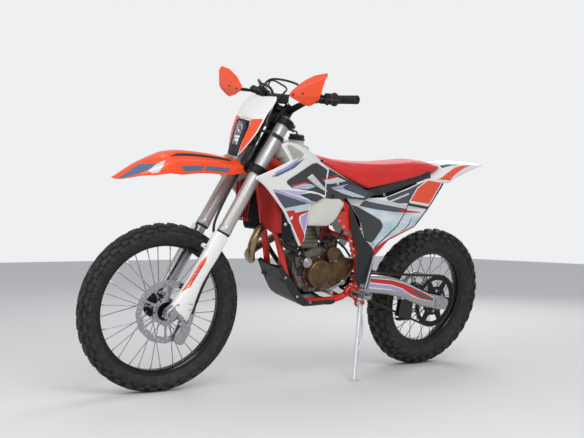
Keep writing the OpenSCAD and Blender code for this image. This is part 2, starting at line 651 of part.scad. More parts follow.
// The headlight mask hangs on a rubber band round each fork tube.
module number_plate() color(white) {
    steered() difference() {
        sheet([for (s = plate_stations) plate_ring(s)]);
        translate([400, -lamp_half - gap, lamp_low - 20])
            cube([120, 2 * (lamp_half + gap), lamp_high + gap - lamp_low + 20]);
    }
    steered() both() difference() {
        union() {
            rod([350, leg_y - 6, 1092], [436, 79, 1092], 5);
            on_head() translate([clamp_offset, leg_y, strap_w - 8]) cylinder(h = 16, r = fork_outer_r + 4);
        }
        on_head() translate([clamp_offset, leg_y, strap_w - 40]) cylinder(h = 80, r = fork_outer_r + gap);
    }
}
module headlight() color(black) steered() {
    hull() {
        translate([404, -lamp_half, lamp_high - 12]) cube([60, 2 * lamp_half, 12]);
        translate([420, -36, lamp_low]) cube([74, 72, 10]);
    }
}

module front_caliper() color(steel) on_fork() difference() {
    union() {
        translate([axle_u - 130, front_disc_y - 15, axle_w - 92]) cube([52, 38, 84]);
        translate([axle_u - 100, front_disc_y + 14, axle_w - 24])
            cube([clamp_offset - 24 - gap - axle_u + 100, lug_y0 + 12 - front_disc_y - 14, 24]);
    }
    translate([axle_u, 0, axle_w]) rotate([-90, 0, 0]) translate([0, 0, front_disc_y - 5.5])
            cylinder(h = 11, r = front_disc_r + 6);
    translate([axle_u, 0, axle_w]) rotate([-90, 0, 0]) cylinder(h = 70, r = front_disc_r - 62);
}

// The hoses' routes, [u, y, w] on the straight fork: the brake hose runs from the right perch, over the
// headlight mask and down the left fork leg to the caliper. The other two go down behind the mask.
brake_route = [[34, -214, 333], [44, -196, 338], [84, -150, 352], [130, -80, 336], [156, 0, 308], [134, 40, 306],
               [108, 52, 286], [92, 54, 240], [76, 50, 150], [68, 48, 60], [66, 45, -10], [66, 44, -60], [64, 46, -190],
               [56, 54, -290], [20, 60, -350], [-20, 64, -430], [-26, 76, -540], [-40, 78, -640], [-50, 76, -695]];
clutch_route = [[34, 214, 333], [44, 196, 338], [86, 140, 356], [124, 60, 350], [132, 0, 334], [112, -44, 290],
                [84, -52, 220], [66, -50, 150]];
throttle_route = [[-3, -230, 365], [0, -229, 379], [16, -204, 394], [30, -150, 392], [36, -80, 378],
                  [38, 0, 356], [62, 40, 318],
                  [80, 46, 260], [66, 36, 180]];
module hoses() color(black) on_fork() {
    tube(curve(brake_route, 3), 5.5, 8, [1, 0.1, 0.2]);
    tube(curve(clutch_route, 3), 4.5, 8, [0.3, 0.1, -1]);
    tube(curve(throttle_route, 3), 4, 8, [0.3, 0.1, -1]);
}

// ---------------------------------------------------------------- wheels
module at_front_axle() on_fork() translate([axle_u, 0, axle_w]) rotate([-90, 0, 0]) children();
module at_rear_axle() translate(rear_axle) rotate([-90, 0, 0]) children();
module ring(r0, r1, t) difference() {
    cylinder(h = t, r = r1, center = true);
    cylinder(h = t + 2, r = r0, center = true);
}
module tyre(d, w, rim_r) rotate_extrude($fn = 120) difference() {
    union() {
        translate([d / 2 - w / 2, 0]) circle(r = w / 2, $fn = 64);
        translate([rim_r + 26, -w * 0.36]) square([d / 2 - w / 2 - rim_r - 26, w * 0.72]);
    }
    translate([0, -w]) square([rim_r + 26, 2 * w]);
}
// Rim, hub and laced spokes; each spoke runs from a hub flange to the rim.
module wheel(rim_r, rim_w, hub_r, hub_half, bore_r, spokes, left_face, right_face) difference() {
    union() {
        translate([0, 0, -right_face]) cylinder(h = left_face + right_face, r = hub_r + 8);
        translate([0, 0, left_face - 8]) cylinder(h = 8, r = 51);
        translate([0, 0, -right_face]) cylinder(h = 8, r = 51);
        ring(rim_r, rim_r + 8, rim_w * 0.6);
        for (s = [-1, 1]) translate([0, 0, s * rim_w / 2 * 0.84]) ring(rim_r + 3, rim_r + 26 - gap, rim_w * 0.16);
        ring(rim_r + 3, rim_r + 10, rim_w);
        cylinder(h = 2 * hub_half, r = hub_r, center = true);
        for (s = [-1, 1]) translate([0, 0, s * (hub_half - 14)]) cylinder(h = 5, r = hub_r + 18, center = true);
        for (i = [0 : spokes - 1]) {
            a = 360 * i / spokes;
            s = i % 2 == 0 ? 1 : -1;
            lean_a = a + (i % 4 < 2 ? 24 : -24);
            rod([(hub_r + 12) * cos(lean_a), (hub_r + 12) * sin(lean_a), s * (hub_half - 14)],
                [(rim_r + 3) * cos(a), (rim_r + 3) * sin(a), s * 4], 1.8);
        }
    }
    cylinder(h = 400, r = bore_r, center = true);
}
module disc(r, t, arms) difference() {
    union() {
        ring(r - 26, r, t);
        ring(38, 52, t);
        for (i = [0 : arms - 1]) rotate([0, 0, 360 * i / arms]) translate([46, -6, 0.3 - t / 2]) cube([r - 70, 12, t - 0.6]);
    }
    cylinder(h = 30, r = 38, center = true);
}

front_hub_half = 56;
rear_hub_half = 66;
module front_tyre() color(black) at_front_axle() tyre(front_tyre_d, front_tyre_w, front_rim_r);
module front_wheel() color("#17171a") at_front_axle() wheel(front_rim_r, 46, 27, front_hub_half, axle_r + run_gap, 32,
    front_disc_y - disc_t / 2 - gap, front_hub_half);
module front_disc() color(steel) at_front_axle() translate([0, 0, front_disc_y]) disc(front_disc_r, disc_t, 6);
module rear_tyre() color(black) at_rear_axle() tyre(rear_tyre_d, rear_tyre_w, rear_rim_r);
module rear_wheel() color("#17171a") at_rear_axle() wheel(rear_rim_r, 60, 31, rear_hub_half, rear_axle_r + run_gap, 32,
    chain_y - sprocket_t / 2 - gap, rear_disc_y - disc_t / 2 - gap);
module rear_disc() color(steel) at_rear_axle() translate([0, 0, -rear_disc_y]) disc(rear_disc_r, disc_t, 5);
module rear_sprocket() color(black) at_rear_axle() translate([0, 0, chain_y])
    disc(sprocket_r - chain_h - 0.6, sprocket_t, 6);

parked() frame();
parked() subframe();
parked() engine();
parked() engine_covers();
parked() exhaust_header();
parked() muffler();
parked() radiators();
parked() radiator_guards();
parked() fuel_tank();
parked() tank_cap();
parked() shrouds();
parked() seat();
parked() side_panels();
parked() rear_fender();
parked() airbox();
parked() skid_plate();
parked() footpegs();
parked() foot_controls();
parked() swingarm();
parked() chain();
parked() chain_guide();
parked() rear_shock();
parked() frame_guards();
parked() rear_caliper();
parked() stand_spring();
parked() triple_clamps();
parked() fork_legs();
parked() fork_guards();
parked() handlebar();
parked() grips();
parked() handguards();
parked() levers();
parked() front_fender();
parked() number_plate();
parked() headlight();
parked() front_caliper();
parked() front_axle();
parked() hoses();
parked() front_tyre();
parked() front_wheel();
parked() front_disc();
parked() rear_tyre();
parked() rear_wheel();
parked() rear_sprocket();
parked() rear_disc();
parked() side_stand();
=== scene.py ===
"""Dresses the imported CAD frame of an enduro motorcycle: tyres, panels, seat, engine detail, finishes and stage."""

import json
import math

import bmesh
import bpy
import numpy as np
from mathutils import Matrix, Vector
from mathutils.geometry import delaunay_2d_cdt


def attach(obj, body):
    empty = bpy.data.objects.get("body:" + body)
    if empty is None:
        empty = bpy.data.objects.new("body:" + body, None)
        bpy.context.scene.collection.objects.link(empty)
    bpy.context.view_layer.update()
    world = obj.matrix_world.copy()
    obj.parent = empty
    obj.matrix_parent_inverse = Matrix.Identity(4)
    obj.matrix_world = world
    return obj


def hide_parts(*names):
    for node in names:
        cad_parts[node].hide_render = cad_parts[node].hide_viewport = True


bl_info = {
    "name": "Enduro motorcycle dressing",
    "version": (1, 0, 0),
    "blender": (4, 5, 0),
    "location": "View3D > Sidebar > Enduro",
    "description": "Adds tyres, body panels, seat, engine detail and finishes to the CAD frame of an enduro",
    "category": "Add Mesh",
}

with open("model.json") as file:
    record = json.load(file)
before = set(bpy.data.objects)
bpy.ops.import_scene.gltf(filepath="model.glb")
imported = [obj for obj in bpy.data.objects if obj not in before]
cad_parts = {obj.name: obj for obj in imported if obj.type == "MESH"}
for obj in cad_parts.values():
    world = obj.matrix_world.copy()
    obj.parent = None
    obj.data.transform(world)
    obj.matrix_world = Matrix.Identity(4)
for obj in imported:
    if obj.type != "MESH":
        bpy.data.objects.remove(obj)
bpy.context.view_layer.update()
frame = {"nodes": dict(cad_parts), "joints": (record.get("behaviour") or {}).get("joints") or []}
JOINTS = {joint["name"]: joint for joint in frame["joints"]}


# ---------------------------------------------------------------- the bike's own coordinates
# Pieces are drawn in millimetres on an upright bike whose centre plane is y = 0, x forwards, z up.
# PARKED leans them over with the bike. STEERED first turns them with the steering, and ON_FORK takes pieces
# that are drawn along the steering axis.

def rotation(axis, degrees):
    """The 4x4 rotation by degrees about an axis through the origin."""
    return np.array(Matrix.Rotation(math.radians(degrees), 4, Vector(axis)))


def about_x(degrees):
    """The rotation about x."""
    return rotation((1, 0, 0), degrees)


def about_y(degrees):
    """The rotation about y."""
    return rotation((0, 1, 0), degrees)


def about_z(degrees):
    """The rotation about z."""
    return rotation((0, 0, 1), degrees)


def laid_flat(at=(0, 0, 0)):
    """Swaps y and z, so that a plate drawn in (x, z) lies in (x, y), then moves it to at."""
    result = np.eye(4)[[0, 2, 1, 3]]
    result[:3, 3] = at
    return result


def unit(vector):
    """The vector at length 1."""
    return vector / np.linalg.norm(vector)


def translation(offset):
    """The 4x4 move by offset."""
    result = np.eye(4)
    result[:3, 3] = offset
    return result


SPIN_AXIS = np.array(JOINTS["rear_wheel_spin"]["axis"])
LEAN = math.degrees(math.atan2(-SPIN_AXIS[2], SPIN_AXIS[1]))
RAKE = 26.5
HEAD = np.array([381.0, 0.0, 937.0])
REAR_TYRE_W = 124.0
GROUND_LIFT = REAR_TYRE_W / 2 * (1 - math.cos(math.radians(LEAN)))
_head_now = np.array(JOINTS["steering"]["pos_m"]) * 1000
_lean_matrix = about_x(-LEAN)
_shift = _head_now - (_lean_matrix @ [*HEAD, 1])[:3]
METRES = np.diag([0.001, 0.001, 0.001, 1.0])
PARKED = METRES @ translation(_shift) @ _lean_matrix
ON_HEAD = translation(HEAD) @ about_y(-RAKE)


def steering_angle():
    """The steering's angle at rest, from the front axle's direction on the upright bike."""
    axle = np.linalg.inv(_lean_matrix)[:3, :3] @ np.array(JOINTS["front_wheel_spin"]["axis"])
    local = np.linalg.inv(ON_HEAD)[:3, :3] @ axle
    return math.degrees(math.atan2(-local[0], local[1]))


STEER = steering_angle()
ON_FORK = PARKED @ ON_HEAD @ about_z(STEER)
STEERED = ON_FORK @ np.linalg.inv(ON_HEAD)


def upright(joint_name):
    """A joint's position on the upright bike, in millimetres."""
    position = [*JOINTS[joint_name]["pos_m"], 1]
    return (np.linalg.inv(PARKED) @ position)[:3]


def stand_axis():
    """The side stand's hinge axis on the upright bike."""
    return unit(np.linalg.inv(PARKED)[:3, :3] @ np.array(JOINTS["side_stand_fold"]["axis"]))


REAR_AXLE = upright("rear_wheel_spin")
FRONT_AXLE = (np.linalg.inv(STEERED) @ [*JOINTS["front_wheel_spin"]["pos_m"], 1])[:3]
AXLE_U, _, AXLE_W = (np.linalg.inv(ON_HEAD) @ [*FRONT_AXLE, 1])[:3]
AT_REAR_AXLE = PARKED @ translation(REAR_AXLE) @ about_x(-90)
AT_FRONT_AXLE = ON_FORK @ translation((AXLE_U, 0, AXLE_W)) @ about_x(-90)


# ---------------------------------------------------------------- meshes worked out with numpy

def grid_faces(rows, columns, close_rows=False, close_columns=False):
    """Quads between neighbouring points of a rows by columns grid, joined round where asked."""
    r = np.arange(rows if close_rows else rows - 1)
    c = np.arange(columns if close_columns else columns - 1)
    r, c = np.meshgrid(r, c, indexing="ij")
    r2, c2 = (r + 1) % rows, (c + 1) % columns
    quads = np.stack([r * columns + c, r * columns + c2, r2 * columns + c2, r2 * columns + c], -1)
    return quads.reshape(-1, 4)


class Shape:
    """Points and faces that are gathered before they become one mesh."""

    def __init__(self, points=None, faces=None):
        self.points = np.zeros((0, 3)) if points is None else np.asarray(points, float)
        self.faces = [] if faces is None else [np.asarray(f, int) for f in faces]

    def __add__(self, other):
        shift = len(self.points)
        faces = self.faces + [f + shift for f in other.faces]
        return Shape(np.vstack([self.points, other.points]), faces)

    def moved(self, matrix):
        """The same shape with every point taken through a 4x4 matrix."""
        matrix = np.asarray(matrix)
        faces = self.faces
        if np.linalg.det(matrix[:3, :3]) < 0:
            faces = [f[:, ::-1] for f in faces]
        return Shape(self.points @ matrix[:3, :3].T + matrix[:3, 3], faces)

    def copies(self, matrices):
        """The shape once for each matrix, as one shape."""
        matrices = np.asarray(matrices)
        count, size = len(matrices), len(self.points)
        points = np.einsum("kij,nj->kni", matrices[:, :3, :3], self.points) + matrices[:, None, :3, 3]
        steps = (np.arange(count) * size)[:, None, None]
        faces = [(f[None] + steps).reshape(-1, f.shape[1]) for f in self.faces]
        return Shape(points.reshape(-1, 3), faces)


def total(shapes):
    """All the shapes as one."""
    result = Shape()
    for shape in shapes:
        result = result + shape
    return result


def both_sides(shape):
    """The shape and its mirror image across the centre plane."""
    return shape + shape.moved(np.diag([1.0, -1.0, 1.0, 1.0]))


def lathe(profile, segments=48, closed=False):
    """Turns a profile of (radius, height) about z: point = (r cos a, r sin a, h)."""
    profile = np.asarray(profile, float)
    angle = np.linspace(0, 2 * np.pi, segments, endpoint=False)
    radius, height = profile[:, 0], profile[:, 1]
    points = np.stack([np.outer(np.cos(angle), radius), np.outer(np.sin(angle), radius),
                       np.tile(height, (segments, 1))], -1)
    return Shape(points.reshape(-1, 3), [grid_faces(segments, len(profile), True, closed)])


def smooth_path(points, per_span=8):
    """A Catmull-Rom curve through the points."""
    p = np.asarray(points, float)
    padded = np.vstack([2 * p[0] - p[1], p, 2 * p[-1] - p[-2]])
    t = np.linspace(0, 1, per_span, endpoint=False)[:, None]
    spans = []
    for a, b, c, d in zip(padded, padded[1:], padded[2:], padded[3:]):
        spans.append(0.5 * (2 * b + (c - a) * t + (2 * a - 5 * b + 4 * c - d) * t ** 2
                            + (3 * b - a - 3 * c + d) * t ** 3))
    return np.vstack([*spans, p[-1:]])


def frames_along(path, side=(0, 0, 1)):
    """Two unit vectors square to the path at each point, the first square to side too."""
    tangent = np.gradient(path, axis=0)
    tangent /= np.linalg.norm(tangent, axis=1, keepdims=True)
    first = np.cross(np.asarray(side, float), tangent)
    first /= np.linalg.norm(first, axis=1, keepdims=True)
    return first, np.cross(tangent, first)


def fan_cap(ring_start, count, centre, flip):
    """Triangles from a centre point to a ring."""
    a = ring_start + np.arange(count)
    b = ring_start + (np.arange(count) + 1) % count
    c = np.full(count, centre)
    return np.stack([a, c, b] if flip else [a, b, c], -1)


def tube(path, radius, sides=12, side=(0, 0, 1), flat=1.0, power=1.0):
    """A bar along the path: centre + radius (c first + flat s second) with c = sgn(cos a) |cos a|^power
    and s the same of sin a, so power = 1 is round and a smaller power is squarer."""
    path = np.asarray(path, float)
    first, second = frames_along(path, side)
    radius = np.broadcast_to(np.asarray(radius, float), (len(path),))
    angle = np.linspace(0, 2 * np.pi, sides, endpoint=False)
    wide, high = (np.sign(v) * np.abs(v) ** power for v in (np.cos(angle), np.sin(angle)))
    ring = wide[None, :, None] * first[:, None] + flat * high[None, :, None] * second[:, None]
    points = (path[:, None] + radius[:, None, None] * ring).reshape(-1, 3)
    n = len(points)
    faces = [grid_faces(len(path), sides, False, True), fan_cap(0, sides, n, True),
             fan_cap(n - sides, sides, n + 1, False)]
    return Shape(np.vstack([points, path[0], path[-1]]), [f[:, ::-1] for f in faces])


def rod(start, end, radius, sides=16):
    """A straight round bar between two points."""
    start, end = np.asarray(start, float), np.asarray(end, float)
    direction = end - start
    side = (0, 0, 1) if abs(direction[2]) < 0.9 * np.linalg.norm(direction) else (1, 0, 0)
    return tube([start, end], radius, sides, side)


def box(low, high, bevel=0.0):
    """A block between two corners; a bevel cuts its edges back in every direction."""
    low, high = np.asarray(low, float), np.asarray(high, float)
    middle, half = (low + high) / 2, (high - low) / 2
    if bevel <= 0:
        signs = np.array([[x, y, z] for x in (-1, 1) for y in (-1, 1) for z in (-1, 1)])
        faces = np.array([[0, 1, 3, 2], [4, 6, 7, 5], [0, 4, 5, 1], [2, 3, 7, 6], [0, 2, 6, 4], [1, 5, 7, 3]])
        return Shape(middle + signs * half, [faces])
    points = []
    for axis in range(3):
        for x in (-1, 1):
            for y in (-1, 1):
                for z in (-1, 1):
                    sign = np.array([x, y, z], float)
                    inner = half - bevel
                    inner[axis] = half[axis]
                    points.append(middle + sign * inner)
    return hull_of(np.array(points))


def hull_of(points):
    """The convex hull of some points, as a shape."""
    work = bmesh.new()
    for point in points:
        work.verts.new(point)
    bmesh.ops.convex_hull(work, input=work.verts)
    bmesh.ops.delete(work, geom=[v for v in work.verts if not v.link_faces], context="VERTS")
    bmesh.ops.recalc_face_normals(work, faces=work.faces)
    work.verts.index_update()
    vertices = np.array([v.co for v in work.verts])
    faces = np.array([[v.index for v in f.verts] for f in work.faces])
    work.free()
    return Shape(vertices, [faces])


def extrude(outline, low, high, bevel=1.0):
    """A plate: an outline in (x, z) from y = low to y = high, its two edges eased by a bevel."""
    outline = np.asarray(outline, float)
    area = np.sum(outline[:, 0] * np.roll(outline[:, 1], -1) - np.roll(outline[:, 0], -1) * outline[:, 1])
    if area < 0:
        outline = outline[::-1]
    inner = inset(outline, bevel)
    levels = [(inner, low), (outline, low + bevel), (outline, high - bevel), (inner, high)]
    points = np.vstack([np.stack([o[:, 0], np.full(len(o), y), o[:, 1]], -1) for o, y in levels])
    n = len(outline)
    sides = grid_faces(4, n, False, True)
    caps = polygon_triangles(outline)
    return Shape(points, [sides, caps, caps[:, ::-1] + 3 * n])


def inset(outline, distance):
    """The outline moved inwards by a distance along the corner bisectors."""
    before, after = np.roll(outline, 1, 0), np.roll(outline, -1, 0)
    d1 = outline - before
    d2 = after - outline
    n1 = np.stack([-d1[:, 1], d1[:, 0]], -1) / np.linalg.norm(d1, axis=1, keepdims=True)
    n2 = np.stack([-d2[:, 1], d2[:, 0]], -1) / np.linalg.norm(d2, axis=1, keepdims=True)
    bisector = n1 + n2
    scale = 2 / np.maximum(np.sum(bisector ** 2, 1, keepdims=True), 0.5)
    return outline + bisector * scale * distance


def polygon_triangles(outline):
    """Triangles that fill a plane outline."""
    count = len(outline)
    edges = [(i, (i + 1) % count) for i in range(count)]
    result = delaunay_2d_cdt([Vector(p) for p in outline], edges, [], 1, 1e-6)
    order = [source[0] for source in result[3]]
    return np.array([[order[i] for i in face] for face in result[2]])


def rounded(outline, radius=6.0, steps=3):
    """The outline with each corner replaced by a short curve."""
    outline = np.asarray(outline, float)
    t = np.linspace(0, 1, steps + 1)[:, None]
    result = []
    for before, here, after in zip(np.roll(outline, 1, 0), outline, np.roll(outline, -1, 0)):
        cut1 = min(radius, 0.45 * np.linalg.norm(before - here))
        cut2 = min(radius, 0.45 * np.linalg.norm(after - here))
        start = here + (before - here) / np.linalg.norm(before - here) * cut1
        end = here + (after - here) / np.linalg.norm(after - here) * cut2
        result.append((1 - t) ** 2 * start + 2 * t * (1 - t) * here + t ** 2 * end)
    return np.vstack(result)


def resampled(outline, step):
    """The outline's edges cut into pieces no longer than step."""
    result = []
    for a, b in zip(outline, np.roll(outline, -1, 0)):
        count = max(1, int(math.ceil(np.linalg.norm(b - a) / step)))
        result.append(a + (b - a) * np.linspace(0, 1, count, endpoint=False)[:, None])
    return np.vstack(result)


def edge_distance(points, outline):
    """The distance from each point to the nearest edge of an outline."""
    a, b = outline, np.roll(outline, -1, 0)
    d = b - a
    length2 = np.maximum(np.sum(d ** 2, 1), 1e-9)
    rel = points[:, None] - a[None]
    t = np.clip(np.sum(rel * d[None], 2) / length2, 0, 1)
    gap = rel - t[..., None] * d[None]
    return np.sqrt(np.min(np.sum(gap ** 2, 2), 1))


def inside(points, outline):
    """Which points lie inside an outline, by counting crossings of a ray."""
    a, b = outline, np.roll(outline, -1, 0)
    x, z = points[:, 0][:, None], points[:, 1][:, None]
    spans = (a[None, :, 1] > z) != (b[None, :, 1] > z)
    rise = np.where(b[:, 1] == a[:, 1], 1e-9, b[:, 1] - a[:, 1])
    cross = (b[:, 0] - a[:, 0])[None] * (z - a[None, :, 1]) / rise[None] + a[None, :, 0]
    return (np.sum(spans & (x < cross), 1) % 2) == 1


def filled(outline, step, rings=(1.2, 3.0, 6.0), holes=()):
    """Points and triangles that fill an outline round its holes: the edges' own points, rows just inside
    them and a lattice."""
    loops = [resampled(outline, step)] + [resampled(counterclockwise(hole)[::-1], step) for hole in holes]
    groups = list(loops)

    def in_material(points):
        keep = inside(points, outline)
        for hole in holes:
            keep &= ~inside(points, np.asarray(hole, float))
        return keep

    def depth_of(points):
        return np.min([edge_distance(points, loop) for loop in loops], axis=0)

    for depth in rings:
        for loop in loops:
            row = inset(loop, depth)
            groups.append(row[in_material(row) & (depth_of(row) > 0.8 * depth)])
    low, high = outline.min(0), outline.max(0)
    xs = np.arange(low[0], high[0], step)
    zs = np.arange(low[1], high[1], step * 0.87)
    lattice = np.array([(x + (step / 2 if i % 2 else 0), z) for i, z in enumerate(zs) for x in xs])
    if len(lattice):
        lattice = lattice[in_material(lattice)]
    if len(lattice):
        groups.append(lattice[depth_of(lattice) > (rings[-1] if rings else 0) + 0.4 * step])
    points = np.vstack(groups)
    edges, start = [], 0
    for loop in loops:
        count = len(loop)
        edges += [(start + i, start + (i + 1) % count) for i in range(count)]
        start += count
    result = delaunay_2d_cdt([Vector(p) for p in points], edges, [], 1, 1e-6)
    vertices = np.array([tuple(v) for v in result[0]])
    triangles = np.array([list(f) for f in result[2]])
    if holes:
        triangles = triangles[in_material(vertices[triangles].mean(1))]
    return vertices, triangles


def boundary(triangles):
    """The directed edges that only one triangle has."""
    edges = np.vstack([triangles[:, [0, 1]], triangles[:, [1, 2]], triangles[:, [2, 0]]])
    known = {(a, b) for a, b in edges.tolist()}
    return np.array([(a, b) for a, b in edges.tolist() if (b, a) not in known])


def panel(outline, surface, thickness, step=14.0, roll=3.0, holes=()):
    """A moulded sheet over an outline in (x, z): its outer face is y = surface(x, z), rolled in near
    its edge by roll * (1 - d / w)^2 over w = 8 mm, and its inner face lies one thickness behind."""
    outline = counterclockwise(outline)
    flat, triangles = filled(outline, step, holes=holes)
    depth = edge_distance(flat, outline)
    for hole in holes:
        depth = np.minimum(depth, edge_distance(flat, np.asarray(hole, float)))
    curl = roll * np.clip(1 - depth / 8.0, 0, 1) ** 2
    outer = surface(flat[:, 0], flat[:, 1])
    front = np.stack([flat[:, 0], outer - curl, flat[:, 1]], -1)
    back = np.stack([flat[:, 0], outer - np.maximum(thickness, curl + 0.8), flat[:, 1]], -1)
    return closed_sheet(front, back, triangles)


def closed_sheet(front, back, triangles):
    """Two faces with the same triangles, joined by walls along every open edge."""
    count = len(front)
    rim = boundary(triangles)
    walls = np.stack([rim[:, 0], rim[:, 1], rim[:, 1] + count, rim[:, 0] + count], -1)
    return Shape(np.vstack([front, back]), [triangles[:, ::-1], triangles + count, walls])


def pierced(outer, holes, low, high, bevel=0.6, step=30.0):
    """A flat plate from y = low to y = high with an outline in (x, z), holes and eased edges."""
    outer = counterclockwise(outer)
    flat, triangles = filled(outer, step, (bevel,), holes)
    depth = edge_distance(flat, outer)
    for hole in holes:
        depth = np.minimum(depth, edge_distance(flat, np.asarray(hole, float)))
    ease = np.where(depth < 0.5 * bevel, bevel, 0.0)
    front = np.stack([flat[:, 0], high - ease, flat[:, 1]], -1)
    back = np.stack([flat[:, 0], low + ease, flat[:, 1]], -1)
    return closed_sheet(front, back, triangles)


def ring_points(x, z, radius, count=24, wave=0.0, waves=0):
    """A circle in (x, z) whose radius swells by wave, waves times round."""
    a = np.linspace(0, 2 * np.pi, count, endpoint=False)
    r = radius + wave * np.cos(waves * a)
    return np.stack([x + r * np.cos(a), z + r * np.sin(a)], -1)


def counterclockwise(outline):
    """The outline as an array that runs counterclockwise in (x, z)."""
    outline = np.asarray(outline, float)
    after = np.roll(outline, -1, 0)
    area = np.sum(outline[:, 0] * after[:, 1] - after[:, 0] * outline[:, 1])
    return outline if area > 0 else outline[::-1]


def decal(outline, surface):
    """A thin sticker over an outline in (x, z), its face on y = surface(x, z)."""
    flat, triangles = filled(counterclockwise(outline), 12, (1.5,))
    outer = surface(flat[:, 0], flat[:, 1])
    front = np.stack([flat[:, 0], outer, flat[:, 1]], -1)
    back = np.stack([flat[:, 0], outer - 0.3, flat[:, 1]], -1)
    return closed_sheet(front, back, triangles)


def cylinder_y(x, y0, y1, z, radius, sides=32, bevel=1.0):
    """A drum along y with eased edges, centred at (x, z)."""
    profile = [(0, 0), (radius - bevel, 0), (radius, bevel), (radius, y1 - y0 - bevel),
               (radius - bevel, y1 - y0), (0, y1 - y0)]
    return lathe(profile, sides).moved(translation((x, y0, z)) @ about_x(-90))


def bolt(radius=5.0, height=5.0):
    """A hexagon head on a washer, standing on z = 0."""
    washer = lathe([(0, 0), (radius * 1.25, 0), (radius * 1.25, 1.2), (0, 1.2)], 16)
    head = lathe([(0, 1.2), (radius, 1.2), (radius, height - 1), (radius * 0.86, height), (0, height)], 6)
    return washer + head


def cap_screw(radius=4.5, height=5.0):
    """A round socket head standing on z = 0, its socket a shallow hexagon well."""
    return lathe([(0, 0), (radius, 0), (radius, height - 0.6), (radius - 0.6, height),
                  (radius * 0.55, height), (radius * 0.5, height - 2.2), (0, height - 2.2)], 12)


def along_y(points, sign=1):
    """Matrices that stand a shape drawn on z = 0 at points (x, y, z), facing out along +y or -y."""
    turn = about_x(-90 * sign)
    return [translation(point) @ turn for point in points]


def make_object(name, shape, on, finish, smooth_angle, nodes=()):
    """Builds the mesh in the frame's metres, gives it its finish and lets it ride on a body."""
    place, body = on
    shape = shape.moved(place)
    mesh = bpy.data.meshes.new(name)
    loops = np.concatenate([f.ravel() for f in shape.faces])
    sizes = np.concatenate([np.full(len(f), f.shape[1]) for f in shape.faces])
    starts = np.concatenate([[0], np.cumsum(sizes)[:-1]])
    mesh.vertices.add(len(shape.points))
    mesh.vertices.foreach_set("co", shape.points.astype(np.float32).ravel())
    mesh.loops.add(len(loops))
    mesh.loops.foreach_set("vertex_index", loops.astype(np.int32))
    mesh.polygons.add(len(sizes))
    mesh.polygons.foreach_set("loop_start", starts.astype(np.int32))
    mesh.update(calc_edges=True)
    mesh.validate()
    obj = bpy.data.objects.new(name, mesh)
    bpy.context.scene.collection.objects.link(obj)
    tidy_mesh(mesh, smooth_angle)
    mesh.materials.append(finish)
    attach(obj, body)
    if nodes:
        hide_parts(*nodes)
    return obj


def tidy_mesh(mesh, smooth_angle):
    """Merges doubled points, drops empty faces, points faces outwards and smooths shallow edges."""
    work = bmesh.new()
    work.from_mesh(mesh)
    bmesh.ops.remove_doubles(work, verts=work.verts, dist=1e-6)
    bmesh.ops.dissolve_degenerate(work, dist=1e-7, edges=work.edges)
    bmesh.ops.recalc_face_normals(work, faces=work.faces)
    limit = math.radians(smooth_angle)
    for face in work.faces:
        face.smooth = True
    for edge in work.edges:
        edge.smooth = edge.is_manifold and edge.calc_face_angle(0.0) < limit
    work.to_mesh(mesh)
    work.free()


# ---------------------------------------------------------------- finishes

def colour(red, green, blue):
    """A linear colour from 0 to 255 screen values."""
    screen = np.array([red, green, blue]) / 255
    linear = np.where(screen <= 0.04045, screen / 12.92, ((screen + 0.055) / 1.055) ** 2.4)
    return (*linear.tolist(), 1.0)


class Nodes:
    """A short way to add nodes and links to one material."""

    def __init__(self, name):
        self.material = bpy.data.materials.new(name)
        self.material.use_nodes = True
        self.tree = self.material.node_tree
        self.shader = self.tree.nodes["Principled BSDF"]
        self.place = self.add("ShaderNodeTexCoord").outputs["Object"]

    def add(self, kind, **settings):
        """A node with its properties and input values set by name."""
        node = self.tree.nodes.new(kind)
        for key, value in settings.items():
            if hasattr(node, key):
                setattr(node, key, value)
            else:
                node.inputs[key.replace("_", " ").title()].default_value = value
        return node

    def link(self, source, target):
        """Joins an output to an input."""
        self.tree.links.new(source, target)

    def noise(self, size, detail=4.0, stretch=(1, 1, 1), rough=0.55):
        """Noise whose features are about size metres across, stretched along each axis."""
        mapping = self.add("ShaderNodeMapping")
        mapping.inputs["Scale"].default_value = tuple(s / size for s in stretch)
        self.link(self.place, mapping.inputs["Vector"])
        node = self.add("ShaderNodeTexNoise", Scale=1.0, Detail=detail, Roughness=rough)
        self.link(mapping.outputs["Vector"], node.inputs["Vector"])
        return node.outputs["Fac"]

    def ramp(self, value, low, high, start=0.0, end=1.0):
        """Value taken from low..high to start..end, and held there outside."""
        node = self.add("ShaderNodeMapRange", From_Min=low, From_Max=high, To_Min=start, To_Max=end)
        self.link(value, node.inputs["Value"])
        return node.outputs["Result"]

    def mix(self, factor, first, second):
        """A colour between two, each a colour or an output."""
        node = self.add("ShaderNodeMix", data_type="RGBA")
        self.link(factor, node.inputs[0])
        for socket, value in ((node.inputs[6], first), (node.inputs[7], second)):
            if isinstance(value, tuple):
                socket.default_value = value
            else:
                self.link(value, socket)
        return node.outputs[2]

    def set(self, **values):
        """Sets the surface's own inputs by name."""
        for key, value in values.items():
            self.shader.inputs[key.replace("_", " ")].default_value = value

    def tint(self, paint):
        """Takes an output as the surface's colour."""
        self.link(paint, self.shader.inputs["Base Color"])

    def gloss(self, noise, low, high):
        """Lets noise carry the roughness from low to high."""
        self.link(self.ramp(noise, 0.3, 0.7, low, high), self.shader.inputs["Roughness"])

    def bump(self, height, distance, strength=1.0, below=None):
        """A bump of that height in metres, on top of another bump."""
        node = self.add("ShaderNodeBump", Strength=strength, Distance=distance)
        self.link(height, node.inputs["Height"])
        if below is not None:
            self.link(below, node.inputs["Normal"])
        self.link(node.outputs["Normal"], self.shader.inputs["Normal"])
        return node.outputs["Normal"]


def shaded(paint, value):
    """A colour made darker or lighter by a factor."""
    return (*[min(1.0, c * value) for c in paint[:3]], 1.0)


